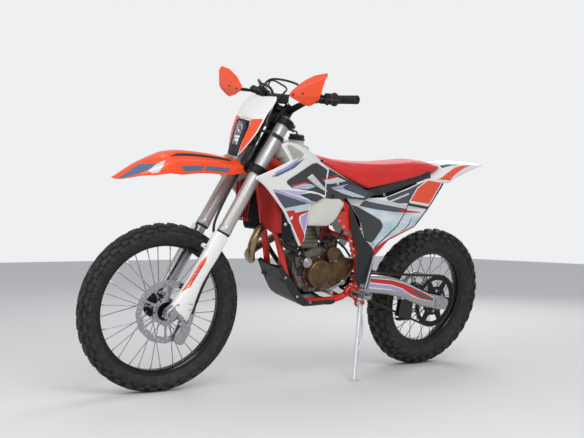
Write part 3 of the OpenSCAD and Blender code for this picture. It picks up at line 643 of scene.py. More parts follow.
def finish(name, paint, rough=0.4, metal=0.0, grain=0.0, mottle=0.1, mottle_size=0.06, coat=0.0, dirt=None,
           dirt_amount=0.0):
    """A surface with colour variation, uneven gloss, fine grain, and dirt in patches where asked."""
    n = Nodes(name)
    cloud = n.noise(mottle_size, 5.0)
    tint = n.mix(n.ramp(cloud, 0.3, 0.7), shaded(paint, 1 - mottle), shaded(paint, 1 + mottle * 0.5))
    if dirt is not None:
        patches = n.ramp(n.noise(0.035, 8.0, (1, 1, 1), 0.7), 0.52, 0.72, 0.0, dirt_amount)
        tint = n.mix(patches, tint, dirt)
    n.tint(tint)
    n.gloss(n.noise(0.011, 6.0), rough - 0.08, rough + 0.08)
    n.set(Metallic=metal, Coat_Weight=coat, Coat_Roughness=0.08)
    if grain:
        n.bump(n.noise(0.0012, 3.0), grain)
    return n.material


def cast_metal(name, paint, rough=0.45):
    """Sand-cast alloy: pitted grain under soft broad stains, and oil darkening in patches."""
    n = Nodes(name)
    stains = n.ramp(n.noise(0.045, 6.0, (1, 1, 1), 0.65), 0.35, 0.7)
    tint = n.mix(stains, shaded(paint, 0.62), shaded(paint, 1.15))
    oil = n.ramp(n.noise(0.02, 5.0), 0.58, 0.7, 0.0, 0.7)
    n.tint(n.mix(oil, tint, shaded(paint, 0.3)))
    n.gloss(n.noise(0.008, 4.0), rough - 0.12, rough + 0.16)
    n.set(Metallic=0.75)
    n.bump(n.noise(0.0016, 4.0), 0.0004)
    return n.material


def brushed(name, paint, along=(1, 1, 0.02), rough=0.32, metal=1.0):
    """Metal with fine lines along one direction and a little uneven polish."""
    n = Nodes(name)
    lines = n.noise(0.0009, 3.0, along)
    n.tint(n.mix(n.ramp(lines, 0.3, 0.7), shaded(paint, 0.82), shaded(paint, 1.1)))
    n.gloss(n.noise(0.02, 4.0), rough - 0.06, rough + 0.1)
    n.set(Metallic=metal)
    n.bump(lines, 0.00005)
    return n.material


def rubber_tyre(name):
    """Black tyre rubber: dusty on the high ground, fine mould grain, dull."""
    n = Nodes(name)
    dust = n.ramp(n.noise(0.03, 7.0, (1, 1, 1), 0.65), 0.45, 0.75, 0.0, 0.55)
    tint = n.mix(dust, colour(30, 30, 31), colour(74, 70, 66))
    n.tint(tint)
    n.gloss(n.noise(0.006, 4.0), 0.62, 0.82)
    n.bump(n.noise(0.0011, 4.0), 0.00025)
    return n.material


def foil(name, first, second, third):
    """Holographic film: three pastel colours in soft slanting bands under a gloss coat."""
    n = Nodes(name)
    mapping = n.add("ShaderNodeMapping")
    mapping.inputs["Rotation"].default_value = (0, math.radians(28), 0)
    mapping.inputs["Scale"].default_value = (5.0, 5.0, 17.0)
    n.link(n.place, mapping.inputs["Vector"])
    bands = n.add("ShaderNodeTexNoise", Scale=1.0, Detail=2.0, Roughness=0.4)
    n.link(mapping.outputs["Vector"], bands.inputs["Vector"])
    wide = n.ramp(bands.outputs["Fac"], 0.36, 0.52)
    narrow = n.ramp(bands.outputs["Fac"], 0.48, 0.64)
    tint = n.mix(narrow, n.mix(wide, first, second), third)
    n.tint(tint)
    n.gloss(n.noise(0.015, 3.0), 0.17, 0.28)
    n.set(Metallic=0.25, Coat_Weight=0.6, Coat_Roughness=0.08)
    return n.material


def seat_cover(name):
    """Red gripper vinyl: a small raised check on a gently faded colour."""
    n = Nodes(name)
    fade = n.ramp(n.noise(0.12, 4.0), 0.3, 0.7)
    red = (*bpy.context.scene.enduro_colours.seat, 1)
    n.tint(n.mix(fade, shaded(red, 0.85), shaded(red, 1.1)))
    n.gloss(n.noise(0.01, 4.0), 0.5, 0.66)
    check = n.add("ShaderNodeTexVoronoi", Scale=420.0)
    n.link(n.place, check.inputs["Vector"])
    first = n.bump(check.outputs["Distance"], 0.00035, 0.8)
    n.bump(n.noise(0.03, 3.0), 0.0008, 0.4, first)
    n.set(Sheen_Weight=0.15)
    return n.material


def clear_lens(name):
    """Clear polycarbonate."""
    n = Nodes(name)
    n.set(Base_Color=(0.92, 0.95, 1.0, 1), Transmission_Weight=0.92, IOR=1.5)
    n.gloss(n.noise(0.01, 3.0), 0.03, 0.09)
    return n.material


def radiator_core(name):
    """Black radiator core: flat tubes with fine fins between them."""
    n = Nodes(name)
    wave = n.add("ShaderNodeTexWave", Scale=210.0, wave_type="BANDS", bands_direction="Z")
    n.link(n.place, wave.inputs["Vector"])
    n.tint(n.mix(wave.outputs["Fac"], colour(12, 12, 13), colour(46, 46, 48)))
    n.set(Metallic=0.5)
    n.gloss(n.noise(0.01, 3.0), 0.4, 0.6)
    n.bump(wave.outputs["Fac"], 0.0006)
    return n.material


FINISHES = {}


def mix_finishes():
    """Every finish by name, made once."""
    tints = bpy.context.scene.enduro_colours
    f = FINISHES
    f["orange"] = finish("orange plastic", (*tints.orange, 1), 0.32, mottle=0.05, grain=0.00006, coat=0.25)
    f["white"] = finish("white plastic", (*tints.white, 1), 0.3, mottle=0.03, grain=0.00002, coat=0.3)
    f["tank"] = finish("off-white tank plastic", colour(214, 212, 203), 0.42, mottle=0.05, grain=0.00012)
    f["black"] = finish("black plastic", colour(27, 27, 29), 0.5, mottle=0.2, grain=0.0002)
    f["glossy black"] = finish("glossy black plastic", colour(20, 20, 22), 0.22, mottle=0.15, coat=0.4)
    f["frame"] = finish("orange frame paint", (*tints.frame, 1), 0.34, mottle=0.08, grain=0.00008, coat=0.2,
                        dirt=colour(110, 60, 40), dirt_amount=0.25)
    f["slate"] = finish("slate film", (*tints.slate, 1), 0.34, mottle=0.08, coat=0.35)
    f["charcoal"] = finish("charcoal film", colour(52, 52, 57), 0.42, mottle=0.1, coat=0.2)
    f["blue grey"] = finish("blue-grey film", colour(84, 104, 132), 0.32, mottle=0.08, coat=0.35)
    f["red film"] = finish("red film", colour(196, 20, 6), 0.36, mottle=0.05, coat=0.1)
    f["orange film"] = finish("orange film", colour(240, 78, 32), 0.3, mottle=0.05, coat=0.4)
    f["dark film"] = finish("dark line film", colour(30, 34, 42), 0.36, mottle=0.1, coat=0.3)
    f["pale film"] = finish("pale grey film", colour(206, 206, 208), 0.3, mottle=0.05, coat=0.4)
    f["foil"] = foil("pastel foil", colour(196, 178, 218), colour(160, 214, 210), colour(240, 208, 190))
    f["cool foil"] = foil("cool pastel foil", colour(228, 232, 238), colour(164, 208, 214), colour(226, 206, 226))
    f["lilac"] = finish("lilac film", colour(168, 160, 206), 0.28, mottle=0.12, coat=0.4)
    f["dark red"] = finish("red louvre plastic", colour(164, 8, 5), 0.5, mottle=0.12, grain=0.00015)
    f["engine"] = cast_metal("engine casting", colour(140, 132, 122))
    f["dark casting"] = cast_metal("dark engine casting", colour(84, 80, 76))
    f["bronze"] = cast_metal("bronze cover paint", colour(112, 88, 62), 0.4)
    f["header"] = brushed("tanned header steel", colour(158, 138, 108), (0.2, 0.2, 0.2), 0.34)
    f["alloy"] = brushed("brushed alloy", colour(178, 178, 180), (1, 1, 0.02), 0.36)
    f["fork alloy"] = brushed("brushed fork alloy", colour(188, 187, 184), (1, 1, 0.02), 0.42, 0.7)
    f["steel"] = brushed("bare steel", colour(170, 172, 176), (0.4, 0.4, 0.4), 0.28)
    f["dark steel"] = brushed("dark steel", colour(70, 66, 62), (0.5, 0.5, 0.5), 0.38)
    f["zinc"] = finish("zinc fastener", colour(190, 192, 196), 0.26, 1.0, mottle=0.12, mottle_size=0.01)
    f["chain"] = finish("oiled chain steel", colour(74, 66, 56), 0.34, 1.0, mottle=0.3, mottle_size=0.01)
    f["black metal"] = finish("black anodised metal", colour(26, 26, 28), 0.36, 0.6, mottle=0.15, grain=0.00006)
    f["rim"] = finish("black rim", colour(22, 22, 24), 0.26, 0.6, mottle=0.2, coat=0.3)
    f["spoke"] = finish("spoke steel", colour(168, 168, 170), 0.3, 1.0, mottle=0.15, mottle_size=0.02)
    f["rubber"] = finish("black rubber", colour(24, 24, 25), 0.62, mottle=0.2, grain=0.0002)
    f["hose"] = finish("hose rubber", colour(22, 22, 23), 0.45, mottle=0.2)
    f["tyre"] = rubber_tyre("tyre rubber")
    f["seat"] = seat_cover("red seat cover")
    f["core"] = radiator_core("radiator core")
    f["lens"] = clear_lens("clear lens")
    f["reflector"] = finish("lamp reflector", colour(226, 228, 232), 0.12, 1.0, mottle=0.03)
    f["stand"] = finish("silver stand paint", colour(214, 215, 216), 0.3, 0.3, mottle=0.08, coat=0.2)
    f["led"] = finish("lamp diode", colour(252, 252, 248), 0.2, mottle=0.02)
    glow = f["led"].node_tree.nodes["Principled BSDF"].inputs
    glow["Emission Color"].default_value, glow["Emission Strength"].default_value = (1, 1, 0.97, 1), 0.5


# Where a piece is drawn, and the body that it rides on.
CHASSIS = (PARKED, "chassis")
FORK = (ON_FORK, "fork")
BARS = (STEERED, "fork")
STAND = (PARKED, "side_stand")


def piece(name, shapes, on, look, nodes=(), smooth=35.0):
    """One piece from a list of shapes, with the finish of that name; it hides the CAD nodes that it stands in for."""
    shape = total(shapes) if isinstance(shapes, (list, tuple)) else shapes
    return make_object(name, shape, on, FINISHES[look], smooth, nodes)


CAD_FINISHES = {
    "frame": "frame", "subframe": "black metal", "engine": "engine", "engine_covers": "bronze",
    "exhaust_header": "header", "muffler": "alloy", "radiators": "core", "radiator_guards": "dark red",
    "fuel_tank": "tank", "tank_cap": "black", "shrouds": "white", "seat": "seat", "side_panels": "white",
    "rear_fender": "white", "airbox": "black", "skid_plate": "black", "footpegs": "steel",
    "foot_controls": "steel", "swingarm": "alloy", "chain": "chain", "chain_guide": "black",
    "rear_shock": "black metal", "frame_guards": "black", "rear_caliper": "black metal",
    "stand_spring": "zinc", "triple_clamps": "black metal", "fork_legs": "fork alloy", "fork_guards": "white",
    "handlebar": "black metal", "grips": "rubber", "handguards": "orange", "levers": "black metal",
    "front_fender": "orange", "number_plate": "white", "headlight": "black", "front_caliper": "alloy",
    "front_axle": "steel", "hoses": "hose", "front_tyre": "tyre", "front_wheel": "rim", "front_disc": "steel",
    "rear_tyre": "tyre", "rear_wheel": "rim", "rear_sprocket": "black metal", "rear_disc": "steel",
    "side_stand": "stand",
}


def finish_cad_nodes():
    """Gives every CAD node its finish."""
    for node, name in CAD_FINISHES.items():
        mesh = frame["nodes"][node].data
        mesh.materials.clear()
        mesh.materials.append(FINISHES[name])


# ---------------------------------------------------------------- stage and camera

CAMERA_AT = (2.716, 3.265, 0.691)
CAMERA_TURN = (-127.43, 0.19, 0.573)  # yaw, pitch and roll in degrees
CAMERA_LENS_MM = 60.54


def make_camera():
    """A camera low on the bike's front left, level with the engine."""
    yaw, pitch, roll = (math.radians(a) for a in CAMERA_TURN)
    look = np.array([math.cos(pitch) * math.cos(yaw), math.cos(pitch) * math.sin(yaw), math.sin(pitch)])
    right = np.cross(look, (0, 0, 1))
    right /= np.linalg.norm(right)
    up = np.cross(right, look)
    right, up = right * math.cos(roll) + up * math.sin(roll), up * math.cos(roll) - right * math.sin(roll)
    world = np.eye(4)
    world[:3, :3] = np.stack([right, up, -look], 1)
    world[:3, 3] = CAMERA_AT
    data = bpy.data.cameras.new("camera")
    data.sensor_width = 36.0
    data.lens = CAMERA_LENS_MM
    data.clip_end = 100.0
    camera = bpy.data.objects.new("camera", data)
    camera.matrix_world = Matrix(world)
    bpy.context.scene.collection.objects.link(camera)
    bpy.context.scene.camera = camera


def flat_finish(name, paint, rough):
    """A plain matt surface for the floor."""
    n = Nodes(name)
    n.tint(n.mix(n.noise(0.5, 3.0), shaded(paint, 0.99), shaded(paint, 1.01)))
    n.set(Roughness=rough)
    return n.material


def make_stage():
    """A pale floor, a big soft lamp over the bike's left, a weaker one on the other side and a pale sky."""
    size = bpy.context.scene.enduro_stage.floor_reach
    mesh = bpy.data.meshes.new("floor")
    mesh.from_pydata([(-size, -size, 0), (size, -size, 0), (size, size, 0), (-size, size, 0)], [], [(0, 1, 2, 3)])
    floor = bpy.data.objects.new("floor", mesh)
    mesh.materials.append(flat_finish("pale floor", (0.72, 0.72, 0.71, 1), 0.8))
    bpy.context.scene.collection.objects.link(floor)
    light = bpy.context.scene.enduro_stage
    lamps = (("key", (1.6, 3.2, 3.4), 2.6, light.key_power), ("front", (3.6, 0.6, 2.2), 2.0, light.front_power),
             ("rim", (-3.2, -2.6, 3.0), 2.4, light.rim_power))
    for name, place, side, power in lamps:
        data = bpy.data.lights.new(name, "AREA")
        data.shape = "DISK"
        data.size = side
        data.energy = power
        lamp = bpy.data.objects.new(name, data)
        lamp.location = place
        aim = Vector((0, 0, 0.6)) - Vector(place)
        lamp.rotation_euler = aim.to_track_quat("-Z", "Y").to_euler()
        bpy.context.scene.collection.objects.link(lamp)
    world = bpy.data.worlds.new("studio")
    bpy.context.scene.world = world
    world.use_nodes = True
    tree = world.node_tree
    sky = tree.nodes["Background"]
    sky.inputs["Color"].default_value = (0.93, 0.95, 1.0, 1)
    sky.inputs["Strength"].default_value = light.sky_strength
    shown = tree.nodes.new("ShaderNodeBackground")
    shown.inputs["Color"].default_value = (0.86, 0.87, 0.88, 1)
    shown.inputs["Strength"].default_value = 1.0
    path = tree.nodes.new("ShaderNodeLightPath")
    either = tree.nodes.new("ShaderNodeMath")
    either.operation = "MAXIMUM"
    tree.links.new(path.outputs["Is Camera Ray"], either.inputs[0])
    tree.links.new(path.outputs["Is Transmission Ray"], either.inputs[1])
    blend = tree.nodes.new("ShaderNodeMixShader")
    tree.links.new(either.outputs[0], blend.inputs[0])
    tree.links.new(sky.outputs[0], blend.inputs[1])
    tree.links.new(shown.outputs[0], blend.inputs[2])
    tree.links.new(blend.outputs[0], tree.nodes["World Output"].inputs["Surface"])
    bpy.context.scene.view_settings.view_transform = "Standard"


# ---------------------------------------------------------------- wheels

TYRES = {
    "front": dict(on=(AT_FRONT_AXLE, "front_wheel"), outer=345.0, width=90.0, rim=255.0, rim_width=46.0,
                  hub=27.0, hub_half=56.0, left=58.7, right=56.0, pitches=38, knob=11.0),
    "rear": dict(on=(AT_REAR_AXLE, "rear_wheel"), outer=338.0, width=124.0, rim=216.0, rim_width=60.0,
                 hub=31.0, hub_half=66.0, left=72.7, right=68.7, pitches=34, knob=13.0),
}


SPOKES = 32
SPOKE_CROSSING = 24  # degrees that a spoke's root lies before or behind its tip


def knob_block(length, width, height):
    """A tread block drawn on z = 0: wider at its root, its top edges cut back."""
    rings = []
    for z, grow in ((-4.0, 1.12), (height * 0.8, 1.0), (height, 0.86)):
        x, y = length / 2 * grow, width / 2 * grow
        rings.append([(-x, -y, z), (x, -y, z), (x, y, z), (-x, y, z)])
    points = np.array(rings).reshape(-1, 3)
    return Shape(points, [grid_faces(3, 4, False, True), np.array([[3, 2, 1, 0], [8, 9, 10, 11]])])


def tyre_section(t):
    """Half of a tyre's section from crown to bead, as smooth (radius, half width) points."""
    crown, bead = t["outer"] - t["knob"], t["rim"] + 24
    depth, w = crown - bead, t["width"]
    rows = [(0, 0), (0.035, 0.17), (0.12, 0.3), (0.27, 0.4), (0.45, 0.455), (0.62, 0.45), (0.78, 0.4),
            (0.9, 0.34), (1.0, 0.29)]
    return smooth_path([(crown - depth * d, w * h, 0) for d, h in rows], 6)[:, :2]


def build_tyre(name, t):
    """Carcass by lathe; block rows at arc fractions of the section, each block square to the carcass."""
    half = tyre_section(t)
    ridge = 0.8 * np.exp(-((np.linspace(0, 1, len(half)) - 0.86) / 0.02) ** 2)
    half_out = half + np.outer(ridge, (0, 1))
    profile = np.vstack([half_out[::-1] * (1, -1), half_out[1:]])
    inner = profile[::-1] - np.array([4.0, 0])
    inner[:, 1] *= 0.86
    carcass = lathe(np.vstack([profile, inner]), 192, closed=True)
    blocks = []
    arc = np.concatenate([[0], np.cumsum(np.linalg.norm(np.diff(half, axis=0), axis=1))])
    pitch = 2 * math.pi * t["outer"] / t["pitches"]
    rows = ((0.0, 0.0, 0.52, 0.32, 1.0), (0.155, 0.5, 0.5, 0.19, 0.98), (0.325, 0.0, 0.52, 0.16, 0.95),
            (0.475, 0.5, 0.46, 0.14, 0.82))
    for place, phase, length, width, height in rows:
        at = place * t["width"] * 1.16
        r, z = np.interp(at, arc, half[:, 0]), np.interp(at, arc, half[:, 1])
        ahead = unit(np.array([np.interp(at + 2, arc, half[:, 0]) - r, np.interp(at + 2, arc, half[:, 1]) - z]))
        block = knob_block(pitch * length, t["width"] * width, t["knob"] * height)
        for side in ((1, -1) if place else (1,)):
            lateral = np.array([ahead[0], 0, ahead[1] * side])
            normal = np.array([ahead[1], 0, -ahead[0] * side])
            local = np.eye(4)
            local[:3, :3] = np.stack([np.cross(lateral, normal), lateral, normal], 1)
            local[:3, 3] = (r, 0, z * side)
            shift = phase + (0.25 if side < 0 and place else 0)
            turns = [about_z(360 * (k + shift) / t["pitches"]) @ local for k in range(t["pitches"])]
            blocks.append(block.copies(turns))
    piece(name + "_tyre_carcass_and_blocks", [carcass, *blocks], t["on"], "tyre", (name + "_tyre",), 40)


def build_wheel(name, t):
    """Rim and hub by lathe; 32 crossed spokes, each a thin rod with a nipple at the rim."""
    r, w = t["rim"], t["rim_width"]
    side = [(r, 0), (r, 0.24 * w), (r + 3, 0.33 * w), (r + 8, 0.43 * w), (r + 14, 0.49 * w), (r + 24, 0.5 * w),
            (r + 26, 0.48 * w), (r + 25, 0.445 * w), (r + 15, 0.42 * w), (r + 11, 0.3 * w), (r + 7, 0.2 * w),
            (r + 7, 0)]
    loop = side + [(a, -b) for a, b in side[::-1][1:-1]]
    piece(name + "_rim", lathe(loop, 192, closed=True), t["on"], "rim", (name + "_wheel",), 30)
    hub, half = t["hub"], t["hub_half"]
    flange = hub + 17
    outline = [(14, -t["right"]), (34, -t["right"]), (51, -t["right"]), (51, -t["right"] + 7), (36, -half + 10),
               (flange, -half + 12), (flange, -half + 17), (hub + 4, -half + 22), (hub, -half + 34),
               (hub, half - 34), (hub + 4, half - 22), (flange, half - 17), (flange, half - 12), (36, half - 10),
               (51, t["left"] - 7), (51, t["left"]), (34, t["left"]), (14, t["left"])]
    rib = rod((hub + 1, 0, -half + 26), (hub + 1, 0, half - 26), 2.2, 8)
    ribs = rib.copies([about_z(a) for a in range(0, 360, 30)])
    screws = cap_screw(4.2, 3).copies([about_z(a) @ translation((44, 0, t["left"])) for a in range(0, 360, 60)])
    piece(name + "_hub", [lathe(outline, 64, closed=True), ribs, screws], t["on"], "black metal")
    spokes, nipples = [], []
    for k in range(SPOKES):
        a = math.radians(360 * k / SPOKES)
        s = 1 if k % 2 == 0 else -1
        b = a + math.radians(SPOKE_CROSSING if k % 4 < 2 else -SPOKE_CROSSING)
        root = np.array([(hub + 13) * math.cos(b), (hub + 13) * math.sin(b), s * (half - 14)])
        tip = np.array([(r + 2) * math.cos(a), (r + 2) * math.sin(a), s * 5])
        d = unit(tip - root)
        head = root + np.array([0, 0, s * 5.0])
        spokes += [tube([head, root + d * 2, root + d * 14, tip - d * 12], (2.3, 2.3, 1.9, 1.9), 8, (0.3, 0.2, 1))]
        nipples.append(rod(tip - d * 17, tip, 3.1, 6))
    piece(name + "_spokes", spokes, t["on"], "spoke", (), 50)
    piece(name + "_spoke_nipples", nipples, t["on"], "zinc", (), 25)


def build_wheels():
    """Both wheels with their tyres."""
    for name, sizes in TYRES.items():
        build_tyre(name, sizes)
        build_wheel(name, sizes)


def upright_disc(shape, offset):
    """Takes a plate drawn in (x, z) with its thickness along y onto a wheel, thickness along its axle."""
    return shape.moved(translation((0, 0, offset)) @ about_x(90))


def brake_disc(radius, waves, windows):
    """A wavy friction ring with drilled holes, tied to a toothed centre by slanted arms."""
    outer = ring_points(0, 0, radius - 1.5, waves * 12, 1.5, waves)
    inner = ring_points(0, 0, radius - 27, waves * 12, 2.0, waves)
    holes = [inner]
    for k in range(waves * 3):
        a = 2 * math.pi * (k + 0.5) / (waves * 3)
        reach = radius - (8.5, 14.5, 20.5)[k % 3]
        holes.append(ring_points(reach * math.cos(a), reach * math.sin(a), 3.4, 10))
    band = pierced(outer, holes, -2, 2, 0.5, 20)
    centre_holes = [ring_points(0, 0, 38, 48)]
    for k in range(windows):
        a = 2 * math.pi * (k + 0.5) / windows
        centre_holes.append(ring_points(51 * math.cos(a), 51 * math.sin(a), 4, 12))
    centre = pierced(ring_points(0, 0, 57, 72, 2, windows), centre_holes, -1.8, 1.8, 0.4, 20)
    length = radius - 28 - 52
    arm = extrude([(52, -8), (52 + length * 0.6, -3.5), (53 + length, -7), (54 + length, 5), (52 + length * 0.6, 4),
                   (52, 8)], -1.7, 1.7, 0.4)
    arms = arm.copies([about_y(360 * k / windows) for k in range(windows)])
    return [band, centre, arms]


def build_discs():
    """Front disc on the hub's left, rear disc on its right."""
    for name, t, radius, offset, windows in (("front", TYRES["front"], 130, 61, 6),
                                             ("rear", TYRES["rear"], 110, -71, 5)):
        shapes = [upright_disc(s, offset) for s in brake_disc(radius, 12, windows)]
        piece(name + "_brake_disc", shapes, t["on"], "steel", (name + "_disc",), 30)


SPROCKET_TEETH = 52
SPROCKET_R = 126.0
FRONT_SPROCKET_R = 36.0
CHAIN_Y = 76.0
FRONT_SPROCKET = np.array([-150.0, 0.0, 455.0])


def build_sprocket():
    """Tooth edge: r = root + (tip - root) * rounded wave, one wave a tooth, round a pierced plate."""
    a = np.linspace(0, 2 * np.pi, SPROCKET_TEETH * 8, endpoint=False)
    wave = np.clip(0.5 - 0.72 * np.cos(SPROCKET_TEETH * a), 0, 1)
    r = SPROCKET_R - 5.5 + 9.0 * wave
    outer = np.stack([r * np.cos(a), r * np.sin(a)], -1)
    holes = [ring_points(0, 0, 40, 48)]
    for k in range(6):
        start, end = math.radians(60 * k + 7), math.radians(60 * k + 53)
        sweep = np.linspace(start, end, 12)
        far = np.stack([104 * np.cos(sweep), 104 * np.sin(sweep)], -1)
        near_sweep = sweep[::-1] * 0.7 + (start + end) / 2 * 0.3
        near = np.stack([72 * np.cos(near_sweep), 72 * np.sin(near_sweep)], -1)
        holes.append(rounded(np.vstack([far, near]), 3, 2))
        a0 = math.radians(60 * k)
        holes.append(ring_points(58 * math.cos(a0), 58 * math.sin(a0), 3.6, 12))
    plate = pierced(outer, holes, -3, 3, 0.8, 18)
    bolts = bolt(6.5, 6).copies([about_z(60 * k + 30) @ translation((50, 0, CHAIN_Y + 3)) for k in range(6)])
    t = TYRES["rear"]
    piece("rear_sprocket_teeth_and_web", upright_disc(plate, CHAIN_Y), t["on"], "black metal", ("rear_sprocket",), 30)
    piece("sprocket_bolts", bolts, t["on"], "zinc")


def chain_path(count):
    """count points at equal steps round both sprockets: two arcs joined by their outer tangents."""
    rear = np.array([REAR_AXLE[0], REAR_AXLE[2]])
    front = FRONT_SPROCKET[[0, 2]]
    r1, r2 = SPROCKET_R, FRONT_SPROCKET_R
    span = front - rear
    base = math.atan2(span[1], span[0])
    swing = math.acos((r1 - r2) / np.linalg.norm(span))
    rear_arc = np.linspace(base + swing, base + 2 * math.pi - swing, 160)
    front_arc = np.linspace(base - swing, base + swing, 60)
    path = np.vstack([rear + r1 * np.stack([np.cos(rear_arc), np.sin(rear_arc)], -1),
                      front + r2 * np.stack([np.cos(front_arc), np.sin(front_arc)], -1)])
    path = np.vstack([path, path[:1]])
    run = np.concatenate([[0], np.cumsum(np.linalg.norm(np.diff(path, axis=0), axis=1))])
    at = np.arange(count) * run[-1] / count + r1 * (math.pi - swing)
    at %= run[-1]
    return np.stack([np.interp(at, run, path[:, 0]), np.interp(at, run, path[:, 1])], -1)


def build_chain():
    """Rollers at equal pitch along the loop; waisted side plates, outer and inner by turns."""
    pitch = 2 * SPROCKET_R * math.sin(math.pi / SPROCKET_TEETH)
    rough = chain_path(1000)
    length = 1000 * np.linalg.norm(rough[1] - rough[0])
    count = 2 * int(round(length / pitch / 2))
    joints = chain_path(count)
    ends = np.radians(np.linspace(-70, 70, 5))
    half = np.stack([pitch / 2 + 6 * np.cos(ends), 6 * np.sin(ends)], -1)
    outline = np.vstack([half, [(0, 4.2)], half * (-1, -1), [(0, -4.2)]])
    plates = {True: extrude(outline, 5.2, 6.8, 0.3) + extrude(outline, -6.8, -5.2, 0.3),
              False: extrude(outline, 3.4, 4.9, 0.3) + extrude(outline, -4.9, -3.4, 0.3)}
    places = {True: [], False: []}
    pins = []
    for k in range(count):
        a, b = joints[k], joints[(k + 1) % count]
        turn = math.degrees(math.atan2(b[1] - a[1], b[0] - a[0]))
        middle = (a + b) / 2
        places[k % 2 == 0].append(translation((middle[0], CHAIN_Y, middle[1])) @ about_y(-turn))
        pins.append(translation((a[0], CHAIN_Y, a[1])))
    links = [plates[kind].copies(places[kind]) for kind in (True, False)]
    pin = cylinder_y(0, -7.3, 7.3, 0, 2.2, 8, 0.3) + cylinder_y(0, -3.3, 3.3, 0, 4.6, 10, 0.3)
    piece("chain_links", [*links, pin.copies(pins)], CHASSIS, "chain", ("chain",), 30)


# ---------------------------------------------------------------- sheets on curved surfaces

def wrapped(outline, surface, front=0.0, back=-3.0, step=12.0, roll=0.0, rings=(1.2, 3.5, 7.0), holes=()):
    """A sheet over an outline in a surface's own two coordinates, in millimetres: point = surface(a, b)
    moved along the surface's unit normal by front or back, with its edge rolled in."""
    outline = counterclockwise(outline)
    flat, triangles = filled(outline, step, rings, holes)
    a, b, d = flat[:, 0], flat[:, 1], 0.5
    centre = surface(a, b)
    normal = np.cross(surface(a, b + d) - surface(a, b - d), surface(a + d, b) - surface(a - d, b))
    normal *= -1 / np.maximum(np.linalg.norm(normal, axis=1, keepdims=True), 1e-9)
    depth = edge_distance(flat, outline)
    curl = (roll * np.clip(1 - depth / 7.0, 0, 1) ** 2)[:, None]
    return closed_sheet(centre + normal * (front - curl), centre + normal * (back - 0.4 * curl), triangles)


def film_on(surface, outline):
    """A thin film over an outline in a surface's own two coordinates."""
    return wrapped(outline, surface, 0.4, -0.3, 8, rings=(1.2,))


def eased(at, rows):
    """Reads a table of (position, value) rows with a smooth curve through them."""
    rows = np.asarray(rows, float)
    t = np.clip(at, rows[0, 0], rows[-1, 0])
    k = np.clip(np.searchsorted(rows[:, 0], t, side="right") - 1, 0, len(rows) - 2)
    x, y = rows[:, 0], rows[:, 1]
    slope = np.gradient(y, x)
    h = x[k + 1] - x[k]
    s = (t - x[k]) / h
    return ((2 * s ** 3 - 3 * s ** 2 + 1) * y[k] + (s ** 3 - 2 * s ** 2 + s) * h * slope[k]
            + (3 * s ** 2 - 2 * s ** 3) * y[k + 1] + (s ** 3 - s ** 2) * h * slope[k + 1])


def mirrored(outline):
    """An outline's mirror image in its first coordinate's zero line."""
    return [(-a, b) for a, b in outline][::-1]


# ---------------------------------------------------------------- fork and steering

LEG_U, LEG_Y = 22.0, 95.0
OUTER_W0 = AXLE_W + 385
GUARD_W1 = AXLE_W + 376
CLAMP_W1 = 194.0
BAR_MIDDLE = (268.0, 0, 1185)


def leg(profile, sides=64):
    """A turned part on the left fork leg's centre line."""
    return lathe(profile, sides).moved(translation((LEG_U, LEG_Y, 0)))


def build_fork_legs():
    """Upper tubes with wiper seals, plated lower tubes, axle lugs and adjusters."""
    upper = leg([(22.6, OUTER_W0), (27.6, OUTER_W0), (29, OUTER_W0 + 3), (29, OUTER_W0 + 20), (27.4, OUTER_W0 + 24),
                 (27, OUTER_W0 + 30), (27, 224), (25.5, 228), (22, 228)])
    piece("fork_upper_tubes", both_sides(upper), FORK, "fork alloy", ("fork_legs",), 30)
    lower = leg([(0, AXLE_W + 24), (22, AXLE_W + 24), (22, OUTER_W0 + 4), (0, OUTER_W0 + 4)])
    piece("fork_lower_tubes", both_sides(lower), FORK, "steel")
    seals = leg([(22.2, OUTER_W0 - 9), (25, OUTER_W0 - 9), (28.4, OUTER_W0 - 5), (28.4, OUTER_W0 - 0.5),
                 (22.2, OUTER_W0 - 0.5)])
    piece("fork_wiper_seals", both_sides(seals), FORK, "rubber")
    cap = leg([(0, 236), (9, 236), (10, 235), (10, 230), (22, 230), (24, 228), (24, 222), (0, 222)])
    knob = leg([(0, 243), (7, 243), (8, 242), (8, 236), (0, 236)], 12)
    piece("fork_top_caps", both_sides(cap + knob), FORK, "black metal")
    u, w = AXLE_U, AXLE_W
    bottom = np.radians(np.arange(150, 391, 15))
    outline = [(u + 25 * math.cos(a), w + 25 * math.sin(a)) for a in bottom]
    outline += [(u + 5, w + 46), (u - 10, w + 66), (LEG_U - 24, w + 66), (LEG_U - 25, w + 20), (LEG_U - 22, w - 6)]
    lug = extrude(rounded(outline, 5, 2), 75, 117, 3)
    slot = box((u - 3, 82, w - 36), (u + 3, 112, w - 22), 1)
    screws = cap_screw(4.5, 5).copies([translation((u + s * 15, 98 + 12 * k, w - 20)) @ about_y(180 - s * 20)
                                       for s in (-1, 1) for k in (-1, 1)])
    sleeve = leg([(22.2, w + 60), (27, w + 60), (27, w + 84), (24, w + 90), (22.2, w + 90)])
    piece("fork_axle_lugs", both_sides(lug + slot + sleeve), FORK, "alloy")
    piece("fork_pinch_screws", both_sides(screws), FORK, "zinc")
    nut = cylinder_y(u, 118.3, 127, w, 15, 6, 1) + cylinder_y(u, 127, 129, w, 11, 32, 0.5)
    tube_end = lathe([(7, -126), (10, -126), (10, 126), (7, 126)], 48, closed=True)
    axle = tube_end.moved(translation((u, 0, w)) @ about_x(-90))
    piece("front_axle_and_nuts", [both_sides(nut), axle], FORK, "steel", ("front_axle",))


